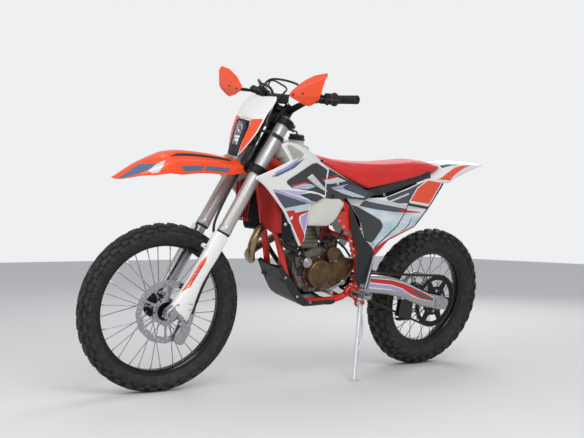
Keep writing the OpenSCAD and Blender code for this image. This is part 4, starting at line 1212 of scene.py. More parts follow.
def guard_surface(a, w):
    """Round the leg: a is arc length from straight ahead towards the outside, on an oval that widens
    towards the foot."""
    foot = np.clip((AXLE_W + 150 - w) / 130, 0, 1) ** 1.5
    long, wide = 35 + 14 * foot, 28
    angle = a / 33.0
    c, s = np.cos(angle), np.sin(angle)
    u = LEG_U + 2 + long * np.sign(c) * np.abs(c) ** 0.8
    y = LEG_Y + wide * np.sign(s) * np.abs(s) ** 0.7
    return np.stack([u, y, w], -1)


def build_fork_guards():
    """A wrapped white shell on each leg with a striped panel, a hose clip and slots near its foot."""
    w = AXLE_W
    outline = [(-22, GUARD_W1 - 60), (-14, GUARD_W1 - 10), (8, GUARD_W1), (58, GUARD_W1), (72, GUARD_W1 - 12),
               (74, GUARD_W1 - 90), (66, GUARD_W1 - 150), (64, w + 150), (78, w + 92), (98, w + 54), (104, w + 4),
               (96, w - 2), (20, w + 30), (-8, w + 34), (-20, w + 60)]
    slots = [[(60, w + 44), (86, w + 58), (86, w + 62), (60, w + 48)],
             [(54, w + 66), (74, w + 77), (74, w + 81), (54, w + 70)]]
    shell = wrapped(rounded(outline, 5, 3), guard_surface, 0, -3, 12, 1.5, holes=slots)
    clip = cylinder_y(72, 84, 108, w + 300, 9, 20, 2)
    web = box((46, 88, w + 290), (70, 104, w + 308), 3)
    piece("fork_guard_shells", both_sides(shell + clip + web), FORK, "white", ("fork_guards",), 40)
    stripe_low, stripe_high = w + 96, w + 268
    flag = [(4, stripe_low), (30, stripe_low + 34), (36, stripe_high - 24), (28, stripe_high), (12, stripe_high - 34)]
    piece("fork_guard_decals", both_sides(wrapped(flag, guard_surface, 0.35, -0.3, 10, rings=(1.5,))), FORK,
          "orange film")
    bars = []
    for k in range(7):
        z = w + 150 + 11 * k
        bars.append(wrapped([(13 + k, z), (30 + k * 0.5, z + 14), (30 + k * 0.5, z + 18), (13 + k, z + 4)],
                            guard_surface, 0.6, 0.2, 10, rings=(1.2,)))
    piece("fork_guard_decal_stripes", both_sides(total(bars)), FORK, "dark film")
    marks = [(28, w + 46), (90, w + 20), (-6, w + 52)]
    screws = []
    for a, z in marks:
        here = guard_surface(np.array([a]), np.array([z]))[0]
        screws.append(cap_screw(5, 4).moved(translation(here - (0, 1, 0)) @ about_x(-90)))
    screws.append(cap_screw(5, 4).moved(translation((72, 108, w + 300)) @ about_x(-90)))
    piece("fork_guard_screws", both_sides(total(screws)), FORK, "zinc")


def clamp_outline(radius):
    """A clamp seen from above, (u, y): a sleeve round each leg joined by a waisted web."""
    side = []
    for degrees in range(-62, 200, 18):
        a = math.radians(degrees)
        side.append((LEG_U + radius * math.cos(a), LEG_Y + radius * math.sin(a)))
    side = side[::-1]
    left = [(-30, 34), (-24, 58), *side, (40, 54), (46, 30)]
    return left + [(u, -y) for u, y in left[::-1]]


def flat_plate(outline, holes, low, high, bevel):
    """A plate with its outline in (u, y), from w = low to w = high."""
    shape = pierced(outline, holes, low, high, bevel, 16)
    return shape.moved(laid_flat())


def build_clamps():
    """Upper and lower clamps bored for the legs, with pinch screws, stem nut and bar risers."""
    bores = [ring_points(LEG_U, s * LEG_Y, 27.3, 40) for s in (-1, 1)]
    lower = flat_plate(clamp_outline(39), bores, -35, 0, 3)
    upper = flat_plate(clamp_outline(37), bores, CLAMP_W1, CLAMP_W1 + 31, 3)
    ears = []
    for w0, h in ((-35, 35), (CLAMP_W1, 31)):
        ears.append(both_sides(box((-26, 78, w0 + 2), (-6, 112, w0 + h - 2), 3)))
    stem = lathe([(0, CLAMP_W1 + 40), (13, CLAMP_W1 + 40), (15, CLAMP_W1 + 38), (15, CLAMP_W1 + 31),
                  (20, CLAMP_W1 + 31), (20, -34), (0, -34)], 40)
    nut = lathe([(0, CLAMP_W1 + 41), (14, CLAMP_W1 + 41), (15.5, CLAMP_W1 + 39), (15.5, CLAMP_W1 + 31),
                 (0, CLAMP_W1 + 31)], 6)
    ahead, above, rake = BAR_MIDDLE[0] - HEAD[0], BAR_MIDDLE[2] - HEAD[2], math.radians(RAKE)
    bar_u = ahead * math.cos(rake) + above * math.sin(rake)
    bar_w = -ahead * math.sin(rake) + above * math.cos(rake)
    top = CLAMP_W1 + 31
    riser = extrude(rounded([(bar_u - 19, top), (bar_u + 19, top), (bar_u + 21, bar_w), (bar_u + 17, bar_w + 20),
                             (bar_u - 17, bar_w + 20), (bar_u - 21, bar_w)], 5, 3), 34, 62, 2)
    piece("steering_clamps", [lower, upper, *ears, stem, both_sides(riser)], FORK, "black metal",
          ("triple_clamps",), 30)
    screws = []
    for w0, h in ((-35, 35), (CLAMP_W1, 31)):
        for k in (0.28, 0.72):
            screws.append(cap_screw(4.5, 5).moved(translation((-16, 112, w0 + h * k)) @ about_x(-90)))
    for du in (-13, 13):
        for y in (41, 55):
            screws.append(cap_screw(4, 4).moved(translation((bar_u + du, y, bar_w + 20))))
    piece("clamp_screws", [both_sides(total(screws)), nut], FORK, "zinc")


BAR_B, BAR_C = np.array([238.0, 170, 1240]), np.array([183.0, 405, 1257])
BAR_D = unit(BAR_C - BAR_B)


def on_bar(distance):
    """The matrix that stands a shape at a distance along the left grip tube, z along it, x forwards."""
    x = unit(-np.cross((0, 0, 1), BAR_D))
    matrix = np.eye(4)
    matrix[:3, :3] = np.stack([x, np.cross(BAR_D, x), BAR_D], 1)
    matrix[:3, 3] = BAR_B + BAR_D * distance
    return matrix


def build_handlebar():
    """A bent bar whose middle is thicker, with ribbed grips, flanges and plugs."""
    middle = np.array(BAR_MIDDLE)
    bend = middle + (0, 66, 0)
    path = smooth_path([BAR_C, BAR_B + BAR_D * 120, BAR_B + BAR_D * 30, BAR_B, BAR_B + (bend - BAR_B) * 0.25,
                        BAR_B + (bend - BAR_B) * 0.75, bend, middle + (0, 30, 0), middle])
    radius = np.interp(path[:, 1], [0, 80, 150, 405], [14, 14, 11.1, 11.1])
    bar = tube(path, radius, 24)
    piece("handlebar_tube", both_sides(bar), BARS, "black metal", ("handlebar",), 40)
    reach = np.linalg.norm(BAR_C - BAR_B)
    rows = [(11.2, reach - 121), (26, reach - 121), (27, reach - 119), (27, reach - 116), (24, reach - 113),
            (17.5, reach - 110)]
    for k in range(34):
        at = reach - 106 + 3.0 * k
        rows += [(16.0, at), (16.9, at + 0.6), (16.9, at + 2.0), (16.0, at + 2.6)]
    rows += [(17.6, reach - 3), (17.6, reach + 0.5), (16, reach + 1.5), (11, reach + 1.5), (7.2, reach + 1.2)]
    grip = lathe(rows, 40).moved(on_bar(0))
    piece("ribbed_grips", both_sides(grip), BARS, "rubber", ("grips",), 30)


def build_levers():
    """Perches clamped on the bar, blade levers with a finger bead, small reservoirs and switch pods."""
    sleeve = lathe([(11.4, -13), (17, -13), (18, -11), (18, 11), (17, 13), (11.4, 13)], 32, closed=True)
    perch = sleeve.moved(on_bar(62))
    body = box((12, -9, -22), (44, 9, 12), 4).moved(on_bar(62))
    pot = box((16, -22, -30), (44, -8, 14), 5).moved(on_bar(62))
    root = BAR_B + BAR_D * 62
    blade = smooth_path([root + (46, -2, 2), root + (54, 24, 3), root + (52, 60, 2), root + (46, 100, 1),
                         root + (40, 140, 1), root + (38, 168, 2), root + (41, 176, 2)], 6)
    widths = np.interp(np.linspace(0, 1, len(blade)), [0, 0.1, 0.3, 0.85, 0.95, 1], [7, 6.5, 5, 4.4, 6.4, 5])
    lever = tube(blade, widths, 12, (0, 0, 1))
    flattened = np.diag([1.0, 1.0, 0.72, 1.0])
    lever = lever.moved(translation((0, 0, root[2])) @ flattened @ translation((0, 0, -root[2])))
    piece("brake_and_clutch_perches", both_sides(perch + body + pot), BARS, "black metal", ("levers",))
    piece("lever_blades", both_sides(lever), BARS, "dark steel", (), 50)
    pod = box((-14, -24, -11), (16, 20, 12), 4).moved(on_bar(92))
    switch = cylinder_y(0, 0, 6, 0, 5, 16, 1).moved(on_bar(92) @ translation((6, 18, 0)))
    piece("bar_switch_pods", both_sides(pod + switch), BARS, "black")
    lids = box((18, -25, -28), (42, -21.5, 12), 1.5).moved(on_bar(62))
    piece("reservoir_lids", both_sides(lids), BARS, "dark steel")


def handguard_surface(y, z):
    """x = 366 - 0.0002 (y - 230)^2 less 0.3 per mm above a first crease and 0.45 per mm below a second;
    both run from the inner tip outwards, and the first has a 4 mm step."""
    first, second = z - 1256 - 0.31 * (y - 205), z - 1244 - 0.05 * (y - 205)
    middle = 366 - 0.0002 * np.clip(y - 230, 0, 999) ** 2
    step = 4.0 / (1 + np.exp(-np.clip(first, -60, 60) / 0.8))
    return np.stack([middle - 0.3 * np.clip(first, 0, 200) - step - 0.45 * np.clip(-second, 0, 200), y, z], -1)


def build_handguards():
    """Creased plastic guards on slim arms."""
    outline = [(196, 1252), (210, 1238), (270, 1222), (328, 1212), (364, 1224), (402, 1244), (412, 1262),
               (433, 1334), (424, 1344), (342, 1332), (270, 1306), (204, 1266)]
    shell = wrapped(rounded(outline, 4, 2), handguard_surface, 0, -3.5, 7, 2.0)
    lip = wrapped([(268, 1222), (322, 1212), (356, 1224), (392, 1244), (392, 1248), (356, 1229), (322, 1217),
                   (268, 1227)], handguard_surface, 2.0, -14, 9, 0.5, rings=(1.2,))
    piece("handguard_shells", both_sides(shell + lip), BARS, "orange", ("handguards",), 14)
    sleeve = lathe([(11.4, -8), (16, -8), (17, -6), (17, 6), (16, 8), (11.4, 8)], 32, closed=True).moved(on_bar(22))
    start = BAR_B + BAR_D * 22
    arm = tube(smooth_path([start + (14, 0, 2), start + (60, 12, 6), (334, 214, 1252), (352, 232, 1250)], 5), 5.5, 10)
    piece("handguard_arms", both_sides(sleeve + arm), BARS, "black metal")
    screws = [cap_screw(4.5, 3).moved(translation(handguard_surface(np.array([y]), np.array([z]))[0] - (1, 0, 0))
                                      @ about_y(90)) for y, z in ((232, 1250), (300, 1258))]
    piece("handguard_screws", both_sides(total(screws)), BARS, "black metal")


FENDER_ROWS = [(455, 64, 961, 917), (500, 70, 970, 908), (560, 74, 977, 906), (640, 80, 983, 907),
               (740, 87, 983, 897), (790, 88, 975, 894), (840, 82, 955, 890), (900, 66, 925, 881),
               (950, 44, 893, 868), (986, 20, 868, 858)]
FENDER_SECTION = [(0, 0), (0.22, 0.0), (0.36, 0.05), (0.44, 0.24), (0.56, 0.29), (0.86, 0.36), (0.93, 0.45),
                  (1.0, 1.0)]


def fender_surface(x, t):
    """t runs from the spine (0) to the rim (100 or -100): flat spine, step, shelf, then a tall flange."""
    rows = np.array(FENDER_ROWS, float)
    half, crown, edge = (eased(x, rows[:, [0, k]]) for k in (1, 2, 3))
    section = np.array(FENDER_SECTION, float)
    s = np.clip(np.abs(t) / 100, 0, 1.05)
    knots = np.array([0, 0.2, 0.34, 0.42, 0.5, 0.7, 0.76, 1.0])
    v, g = np.interp(s, knots, section[:, 0]), np.interp(s, knots, section[:, 1])
    front = np.clip((x - 780) / 180, 0, 1)
    g = g * (1 - front) + front * v ** 2
    return np.stack([x, np.sign(t) * v * half, crown - (crown - edge) * g], -1)


def build_front_fender():
    """A long spined fender with film patches, a mounting foot and bolts."""
    side = [(455, -100), (740, -100), (790, -97), (850, -100), (920, -96), (965, -92), (988, -60), (992, 0)]
    outline = side + [(x, -t) for x, t in side[::-1]][1:]
    shell = wrapped(outline, fender_surface, 0, -3.5, 9, 1.0, rings=(1.5, 4))
    piece("front_fender_shell", shell, BARS, "orange", ("front_fender",), 28)
    patches = {"blue grey": [[(520, 83), (628, 83), (640, 94), (532, 94)],
                             [(640, 83), (745, 83), (730, 94), (652, 94)],
                             [(836, 60), (880, 74), (975, 84), (968, 60), (900, 34)]],
               "pale film": [[(800, 56), (832, 58), (876, 77), (860, 92), (836, 92)]],
               "dark film": [[(500, 36), (745, 36), (775, 40), (760, 43), (500, 42)]]}
    for look, outlines in patches.items():
        shapes = [film_on(fender_surface, o) for o in outlines]
        piece("fender_decals_" + look.replace(" ", "_"), both_sides(total(shapes)), BARS, look)
    foot = box((-20, -32, -41), (118, 32, -36), 1.5)
    piece("front_fender_mount", foot, FORK, "orange")
    screws = cap_screw(6, 4).copies([translation((x, y, z)) for x, y, z in ((470, 0, 961), (510, 0, 970))])
    piece("front_fender_screws", screws, BARS, "zinc")


MASK_ROWS = [(976, 482, 42, 4), (1010, 477, 62, 9), (1050, 468, 89, 16), (1090, 454, 108, 18), (1130, 436, 117, 15),
             (1170, 414, 121, 10), (1205, 389, 121, 8), (1240, 364, 106, 6)]


def mask_surface(y, z):
    """x = spine(z) - sweep(z) * (y / half width(z))^2, with a shallow brow over the lamp."""
    rows = np.array(MASK_ROWS, float)
    spine, half, sweep = (eased(z, rows[:, [0, k]]) for k in (1, 2, 3))
    brow = 5 * np.exp(-((z - 1146) / 14) ** 2) * np.exp(-(y / 60) ** 2)
    return np.stack([spine - sweep * (y / half) ** 2 + brow, y, z], -1)


LAMP = [(33, 982), (39, 1020), (45.5, 1100), (31, 1131), (-31, 1131), (-45.5, 1100), (-39, 1020), (-33, 982)]


def lamp_surface(y, z):
    """The lamp's face: a plane that leans back, slightly crowned."""
    return np.stack([459 + (1130 - z) * 0.21 - 0.004 * y ** 2, y, z], -1)


def build_mask():
    """The headlight mask with its films, and the lamp with its projector, bars and lens."""
    right = [(36, 980), (57, 1003), (86, 1046), (104, 1082), (114, 1130), (118, 1176), (119, 1200), (113, 1222),
             (98, 1236), (40, 1234), (0, 1230)]
    notch = [(34.5, 980), (47, 1100), (32, 1133)]
    outline = right + mirrored(right)[1:] + [(-a, b) for a, b in notch] + notch[::-1]
    outline = rounded(outline, 3, 2)
    shell = wrapped(outline, mask_surface, 0, -3.5, 9, 2.0)
    piece("headlight_mask", shell, BARS, "white", ("number_plate",), 35)
    flag = [(43, 990), (60, 1012), (86, 1052), (102, 1088), (111, 1136), (106, 1141), (42, 1134), (52, 1102),
            (46, 1060)]
    films = film_on(mask_surface, flag)
    piece("mask_decals", both_sides(films), BARS, "orange film")
    window = [(26, 1026), (35, 1098), (25, 1123), (-25, 1123), (-35, 1098), (-26, 1026)]
    bezel = wrapped(rounded(LAMP, 4, 2), lamp_surface, 2, -22, 7, 2.5, holes=[window])
    chin = wrapped(rounded([(27, 988), (31, 1018), (-31, 1018), (-27, 988)], 3, 2), lamp_surface, 4, 0, 7, 1.5)
    back = box((404, -42, 1026), (440, 42, 1126), 4)
    piece("headlight_bezel", [bezel, back, chin], BARS, "black", ("headlight",), 30)
    tilt = about_y(102)
    lens = lathe([(0, 17), (8, 16), (14, 12), (17, 6), (17, 0), (0, 0)], 40).moved(translation((446, 0, 1094)) @ tilt)
    ring = lathe([(17.5, 0), (17.5, 12), (19.5, 14), (23, 13), (25, 4), (25, 0)], 40, True)
    piece("headlight_projector", lens, BARS, "glossy black", (), 60)
    piece("headlight_projector_ring", ring.moved(translation((444, 0, 1094)) @ tilt), BARS, "reflector")
    bars = [box((456, -15, z - 4.5), (470, 15, z + 4.5), 2) for z in (1043, 1057)]
    piece("headlight_led_bars", bars, BARS, "led")
    cover = wrapped(window, lamp_surface, -1, -2.5, 8, rings=(1.5,))
    piece("headlight_lens", cover, BARS, "lens")
    loop = [(LEG_U + 30 * math.cos(a), LEG_Y + 30 * math.sin(a), 140) for a in np.radians(np.arange(20, 341, 16))]
    band = tube(loop, 2.2, 12, flat=3.4, power=0.6)
    piece("mask_rubber_bands", both_sides(band), FORK, "rubber")
    arms = both_sides(rod((352, 84, 1092), (434, 79, 1092), 5, 12))
    gauge = box((262, -42, 1208), (312, 42, 1246), 6)
    piece("mask_brackets_and_gauge", [arms, gauge], BARS, "black")
    piece("gauge_glass", box((256, -34, 1240), (300, 34, 1248.5), 2), BARS, "glossy black")


BRAKE_ROUTE = [(34, -214, 333), (44, -196, 338), (84, -150, 352), (130, -80, 336), (156, 0, 308), (134, 40, 306),
               (108, 52, 286), (92, 54, 240), (76, 50, 150), (68, 48, 60), (66, 45, -10), (66, 44, -60),
               (64, 46, -190), (56, 54, -290), (20, 60, -350), (-20, 64, -430), (-26, 76, -540), (-40, 78, -640),
               (-50, 76, -695)]
CLUTCH_ROUTE = [(34, 214, 333), (44, 196, 338), (86, 140, 356), (124, 60, 350), (132, 0, 334), (112, -44, 290),
                (84, -52, 220), (66, -50, 150)]
THROTTLE_ROUTE = [(-3, -230, 364), (0, -229, 378), (16, -204, 394), (30, -150, 392), (36, -80, 378),
                  (38, 0, 356), (62, 40, 318), (80, 46, 260), (66, 36, 180)]


def cord(name, route, radius, side):
    """A hose along a smooth route; returns the route's points."""
    path = smooth_path(route)
    hose = piece(name, tube(path, radius, 14, side), FORK, "hose", ("hoses",), 50)
    return path


def build_hoses():
    """Brake, clutch and throttle hoses along their routes, each as long as its route, with crimped ends."""
    ferrules = []
    for name, route, radius, side in (("brake_hose", BRAKE_ROUTE, 5.5, (1, 0.1, 0.2)),
                                      ("clutch_hose", CLUTCH_ROUTE, 4.5, (0.3, 0.1, -1)),
                                      ("throttle_hose", THROTTLE_ROUTE, 4.0, (0.3, 0.1, -1))):
        path = cord(name, route, radius, side)
        for end in (path[:8], path[::-1][:8]):
            ferrules.append(tube(end, radius + 1.3, 14, side))
    piece("hose_ferrules", ferrules, FORK, "zinc", (), 50)


def build_front_caliper():
    """A two-piston caliper with bridge, pistons, pad pin and carrier on the left lug."""
    u, w = AXLE_U, AXLE_W
    near, far = u - 130, u - 78
    outline = rounded([(near, w - 80), (near + 10, w - 92), (far - 8, w - 92), (far, w - 60), (far, w - 22),
                       (far - 14, w - 8), (near + 6, w - 8), (near, w - 30)], 8, 3)
    outer, inner = extrude(outline, 67.5, 84, 3), extrude(outline, 46, 54.5, 3)
    bridge = box((near + 1, 50, w - 74), (near + 9, 80, w - 26), 2)
    pistons = [cylinder_y(u - 104, 84, 88, w - 50 + s * 19, 14, 32, 1.5) for s in (-1, 1)]
    arm = extrude(rounded([(u - 104, w - 26), (u - 100, w - 2), (LEG_U - 25, w + 2), (LEG_U - 25, w - 22)], 4, 2),
                  75, 87, 2)
    piece("front_caliper_body", [outer, inner, bridge, *pistons, arm], FORK, "alloy", ("front_caliper",))
    screws = cap_screw(5, 5).copies(along_y([(u - 92, 84, w - 80), (u - 92, 84, w - 18), (LEG_U - 32, 87, w - 10)]))
    banjo = cylinder_y(-50, 70, 84, w - 6, 8, 6, 1)
    piece("front_caliper_screws", [screws, banjo], FORK, "zinc")


# ---------------------------------------------------------------- frame and engine

SPAR = [(345, 20, 985), (262, 52, 944), (180, 80, 905), (60, 92, 856), (-50, 100, 806), (-100, 106, 755),
        (-130, 109, 700), (-160, 112, 620), (-180, 112, 530), (-188, 112, 445)]
CRADLE = [(-188, 112, 445), (-158, 100, 410), (-107, 90, 380), (-20, 87, 373), (70, 85, 372), (120, 78, 395),
          (175, 68, 470), (236, 50, 637), (330, 18, 868)]


def loft(sections):
    """The skin through closed sections of the same number of points, with a fan over each end."""
    sections = np.asarray(sections, float)
    rows, count = sections.shape[:2]
    points = np.vstack([sections.reshape(-1, 3), sections[0].mean(0), sections[-1].mean(0)])
    last = rows * count
    return Shape(points, [grid_faces(rows, count, False, True), fan_cap(0, count, last, True),
                          fan_cap(last - count, count, last + 1, False)])


def bent(points, radius, sides=20, side=(0, 1, 0.2), **section):
    """A bar along a smooth curve through a few points."""
    return tube(smooth_path(points, 6), radius, sides, side, **section)


def sideways(outline, low, high, radius=4.0, bevel=1.5):
    """A plate with rounded corners, its outline in (x, z), from y = low to y = high."""
    return extrude(rounded(outline, radius, 3), low, high, bevel)


def screws_at(points, y, head=cap_screw, size=5.0, height=4.0):
    """Screw heads on the left at (x, z) points, standing on the plane y."""
    return head(size, height).copies(along_y([(x, y, z) for x, z in points]))


def build_frame():
    """Swept spars and cradle, head tube, gussets, engine brackets, peg brackets and the stand's pivot."""
    spars = [bent(SPAR, 17.5, power=0.72, flat=0.92), bent(CRADLE, 14.0)]
    gusset = hull_of([(x, y + s, z) for x, y, z in ((338, 20, 978), (262, 50, 940), (268, 44, 926), (306, 27, 838),
                                                    (316, 22, 838)) for s in (-1.5, 1.5)])
    upper = sideways([(-10, 762), (-30, 728), (-62, 692), (-90, 688), (-99, 700), (-126, 724), (-54, 784)], 112, 119)
    lower = sideways([(-96, 686), (-94, 660), (-126, 602), (-150, 562), (-168, 556), (-172, 576), (-152, 604),
                      (-116, 658)], 112, 118)
    peg = sideways([(-122, 414), (-146, 442), (-172, 450), (-212, 432), (-216, 400), (-206, 376), (-180, 382),
                    (-148, 392)], 100, 120, 6, 3)
    pivot = cylinder_y(-205, 97, 125, 445, 21, 40, 2)
    ring = cylinder_y(-165, 98, 127.5, 418, 15, 24, 1.5)
    bracket = rod((238, 46, 662), (240, 102, 672), 8)
    sides = both_sides(total([*spars, gusset, upper, lower, peg, pivot, ring, bracket]))
    across = [rod((x, -w, z), (x, w, z), r, 24) for x, z, w, r in ((180, 905, 80, 12), (-50, 806, 100, 12),
              (-128, 384, 96, 12), (-165, 640, 112, 12), (-205, 445, 112, 10))]
    head = lathe([(20.2, 1.2), (31, 1.2), (32, 3), (32, 12), (29, 16), (29, 176), (32, 180), (32, 190), (31, 192.8),
                  (20.2, 192.8)], 48, closed=True).moved(ON_HEAD)
    welds = [lathe([(r, -2.5), (r + 2, -1), (r + 2, 1), (r, 2.5)], 24, closed=True).moved(
        translation(at) @ about_x(90)) for at, r in (((-50, 88, 806), 12), ((180, 68, 905), 12),
                                                                 ((-128, 80, 384), 12), ((-165, 98, 640), 12))]
    piece("frame_tubes", [sides, *across, both_sides(total(welds))], CHASSIS, "frame", ("frame",), 40)
    # The head tube gets black metal, not the frame's orange paint: painted shade, standing in for the shadow and for
    # the black cover and wires in front of it.
    piece("head_tube", head, CHASSIS, "black metal", (), 40)
    chrome = screws_at([(-26, 738), (-57, 712), (-111, 649), (-133, 613), (-149, 581), (-164, 567)], 118, bolt, 6, 7)
    lows = screws_at([(-176, 440), (-190, 396)], 119.5, bolt, 5, 6)
    nut = cylinder_y(-205, 125, 132, 445, 13, 6, 1)
    piece("frame_bolts", both_sides(total([chrome, lows, nut])), CHASSIS, "zinc")
    stand_boss = Shape()
    axis, at = stand_axis(), upright("side_stand_fold")
    for start, end, r in ((-28, -12.3, 15), (-20, 13, 6), (12.2, 16, 10)):
        stand_boss = stand_boss + rod(at + axis * start, at + axis * end, r, 32)
    piece("stand_bracket", [stand_boss, rod(at - 21 * axis, (-165, 104, 410), 8)], CHASSIS, "frame")


def build_engine():
    """Crankcase, barrel, head and cover castings with ribs, joint lines, bolts, covers, starter and pipes."""
    case = [(138, 560), (143, 500), (106, 428), (60, 402), (-95, 402), (-128, 428), (-165, 470), (-168, 540),
            (-110, 600), (20, 612)]
    halves = [sideways(case, 1.2, 60, 12, 7), sideways(case, -60, -1.2, 12, 7), sideways(case, -3, 3, 14, 1)]
    ribs = [rod((x, 30 * s, z), (x2, 30 * s, z2), 5) for s in (-1, 1) for x, z, x2, z2 in (
        (136, 540, 100, 430), (-60, 600, -20, 606), (-150, 470, -100, 408), (20, 404, -80, 404))]
    barrel = [box((12, -54, 596), (138, 54, 716), 9), box((6, -58, 708), (146, 58, 722), 4),
              box((14, -52, 722), (142, 52, 786), 8), box((16, -50, 782), (140, 50, 812), 11)]
    fins = [box((8, -57.5, 622 + 17 * k), (144, 57.5, 628 + 17 * k), 2) for k in range(5)]
    fins += [box((30 + 24 * k, 50, 726), (36 + 24 * k, 57, 780), 2) for k in range(4)]
    port = [rod((120, 0, 700), (153, 0, 700), 25, 32), rod((143, 0, 700), (150, 0, 700), 32, 6)]
    piece("engine_cases_and_barrel", [*halves, *ribs, *barrel, *fins, *port], CHASSIS, "engine", ("engine",), 30)
    intake = lathe([(0, 0), (30, 0), (31, 4), (31, 14), (27, 18), (27, 58), (31, 62), (31, 74), (27, 78), (25, 140),
                    (0, 140)], 40)
    aim = Vector((-130, 0, 55)).to_track_quat("Z", "Y").to_matrix().to_4x4()
    boot = intake.moved(translation((0, 0, 735)) @ np.array(aim))
    round_cover = [cylinder_y(-33, 40, 76, 624, 29, 40, 4), cylinder_y(-33, 74, 80, 624, 15, 32, 2)]
    sump = [cylinder_y(60, 30, 66, 424, 20, 32, 3), cylinder_y(-10, 30, 66, 418, 14, 6, 2),
            box((86, 46, 480), (120, 66, 524), 6), box((100, 40, 560), (128, 60, 590), 5)]
    hidden = rod((-150, 61, 455), (-150, 73, 455), 12, 24)
    piece("engine_intake_and_bosses", [boot, *round_cover, *sump, hidden], CHASSIS, "dark casting")
    teeth = ring_points(-150, 455, 30, 14 * 8, 2.2, 14)
    piece("front_sprocket_teeth", pierced(teeth, [ring_points(-150, 455, 8, 24)], 73, 79, 0.8), CHASSIS, "dark steel")
    main = lathe([(0, 47), (40, 47), (43, 46), (45, 43), (58, 43), (61, 41), (64, 36), (66, 10), (72, 8), (73, 4),
                  (73, 0.5), (0, 0.5)], 96).moved(translation((18, 61, 496)) @ about_x(-90))
    small = lathe([(0, 38), (20, 38), (22, 35), (30, 34), (33, 31), (34, 6), (38, 4), (38, 0.5), (0, 0.5)], 72)
    small = small.moved(translation((-46, 61, 582)) @ about_x(-90))
    chain_cover = sideways([(-24, 556), (-66, 560), (-100, 566), (-176, 560), (-188, 540), (-178, 512), (-128, 456),
                            (-104, 436), (-50, 446)], 85, 95, 8, 3)
    ridge = bent([(-44, 540, 0), (-110, 556, 0), (-176, 552, 0), (-182, 536, 0), (-128, 464, 0), (-108, 446, 0)], 4.5,
                   10, (0, 0, 1), flat=1.6).moved(laid_flat((0, 95, 0)))
    slants = [rod((7 - 12 * k, 105.5, 440 + 3 * k), (-52 - 9 * k, 98, 530 - 12 * k), 3.6, 8) for k in range(2)]
    slants += [rod((-30, 96, 470), (-62, 96, 526), 3.2, 8), rod((-84, 96, 470), (-118, 96, 536), 3, 8),
               rod((-60, 96, 462), (-150, 96, 536), 3, 8)]
    right = [cylinder_y(0, -104, -61.3, 496, 78, 72, 6), cylinder_y(0, -112, -103, 496, 60, 72, 4),
             cylinder_y(92, -92, -61.3, 470, 34, 48, 5), cylinder_y(92, -97, -91, 470, 18, 32, 2)]
    piece("engine_side_covers", [main, small, chain_cover, ridge, *slants, *right], CHASSIS, "bronze",
          ("engine_covers",), 30)
    turns = np.radians(np.arange(0, 360, 45))
    marks = [(18 + 69 * math.cos(a), 496 + 69 * math.sin(a)) for a in turns]
    screws = [screws_at(marks, 69, bolt, 4, 6), screws_at([(-16, 596), (-84, 594), (-46, 546)], 66, bolt, 5, 8),
              screws_at([(-60, 552), (-168, 548), (-112, 450)], 95, bolt, 4.5, 5),
              screws_at([(-20, 642), (-52, 606)], 70, bolt, 4, 6), screws_at([(20, 600), (130, 600)], 52, bolt, 5, 7),
              screws_at([(24, 775), (132, 775), (24, 735), (132, 735)], 52, bolt, 5, 6)]
    right_marks = [(88 * math.cos(a) * 0.8, 496 + 70 * math.sin(a)) for a in turns]
    screws.append(bolt(4.5, 5).copies(along_y([(x, -104, z) for x, z in right_marks], -1)))
    tops = bolt(5, 7).copies([translation((x, y, 811)) for x in (30, 126) for y in (-36, 36)])
    piece("engine_screws", [*screws, tops], CHASSIS, "zinc")
    piece("starter_motor", [cylinder_y(92, 61, 96, 546, 23, 40, 3), cylinder_y(92, 94, 100, 546, 14, 32, 2),
                            rod((92, 70, 566), (104, 70, 590), 5, 12)], CHASSIS, "alloy")
    coolant = [bent([(262, 96, 668), (240, 90, 640), (214, 82, 618), (170, 74, 604), (120, 66, 580)], 10.5),
               bent([(262, -96, 668), (240, -88, 640), (214, -80, 616), (170, -78, 560), (110, -82, 500)], 10.5),
               bent([(262, 88, 850), (220, 70, 846), (180, 52, 820), (150, 44, 790)], 10),
               bent([(262, -88, 850), (220, -70, 846), (180, -52, 820), (150, -44, 790)], 10)]
    looms = [bent([(300, 34, 900), (200, 48, 850), (160, 66, 740), (150, 66, 640), (112, 70, 600), (96, 76, 560)],
                  4.5, 12),
             bent([(120, 60, 800), (90, 66, 760), (60, 66, 690), (20, 70, 640), (-20, 84, 640)], 5.5, 12),
             bent([(-30, 84, 640), (-70, 88, 660), (-86, 84, 700), (-80, 70, 760)], 6, 12),
             bent([(10, 62, 690), (-10, 76, 660), (-60, 78, 640), (-110, 82, 610), (-150, 84, 570)], 5, 12),
             bent([(130, 64, 640), (150, 70, 600), (146, 72, 540), (120, 72, 500)], 4, 12)]
    piece("coolant_hoses_and_looms", [*coolant, *looms], CHASSIS, "hose")
    clips = [lathe([(10.8, -4), (12, -4), (12, 4), (10.8, 4)], 24, closed=True).moved(
        translation(at) @ about_y(60)) for at in ((256, 94, 660), (256, -94, 660), (132, 68, 586))]
    piece("hose_clips", clips, CHASSIS, "zinc")


HEADER = [(151, 0, 700), (205, 0, 702), (255, 0, 700), (306, 10, 676), (340, 18, 622), (334, 4, 566), (297, -42, 532),
          (253, -122, 545), (150, -150, 585), (20, -160, 635), (-150, -162, 668), (-300, -166, 696),
          (-338, -170, 704)]


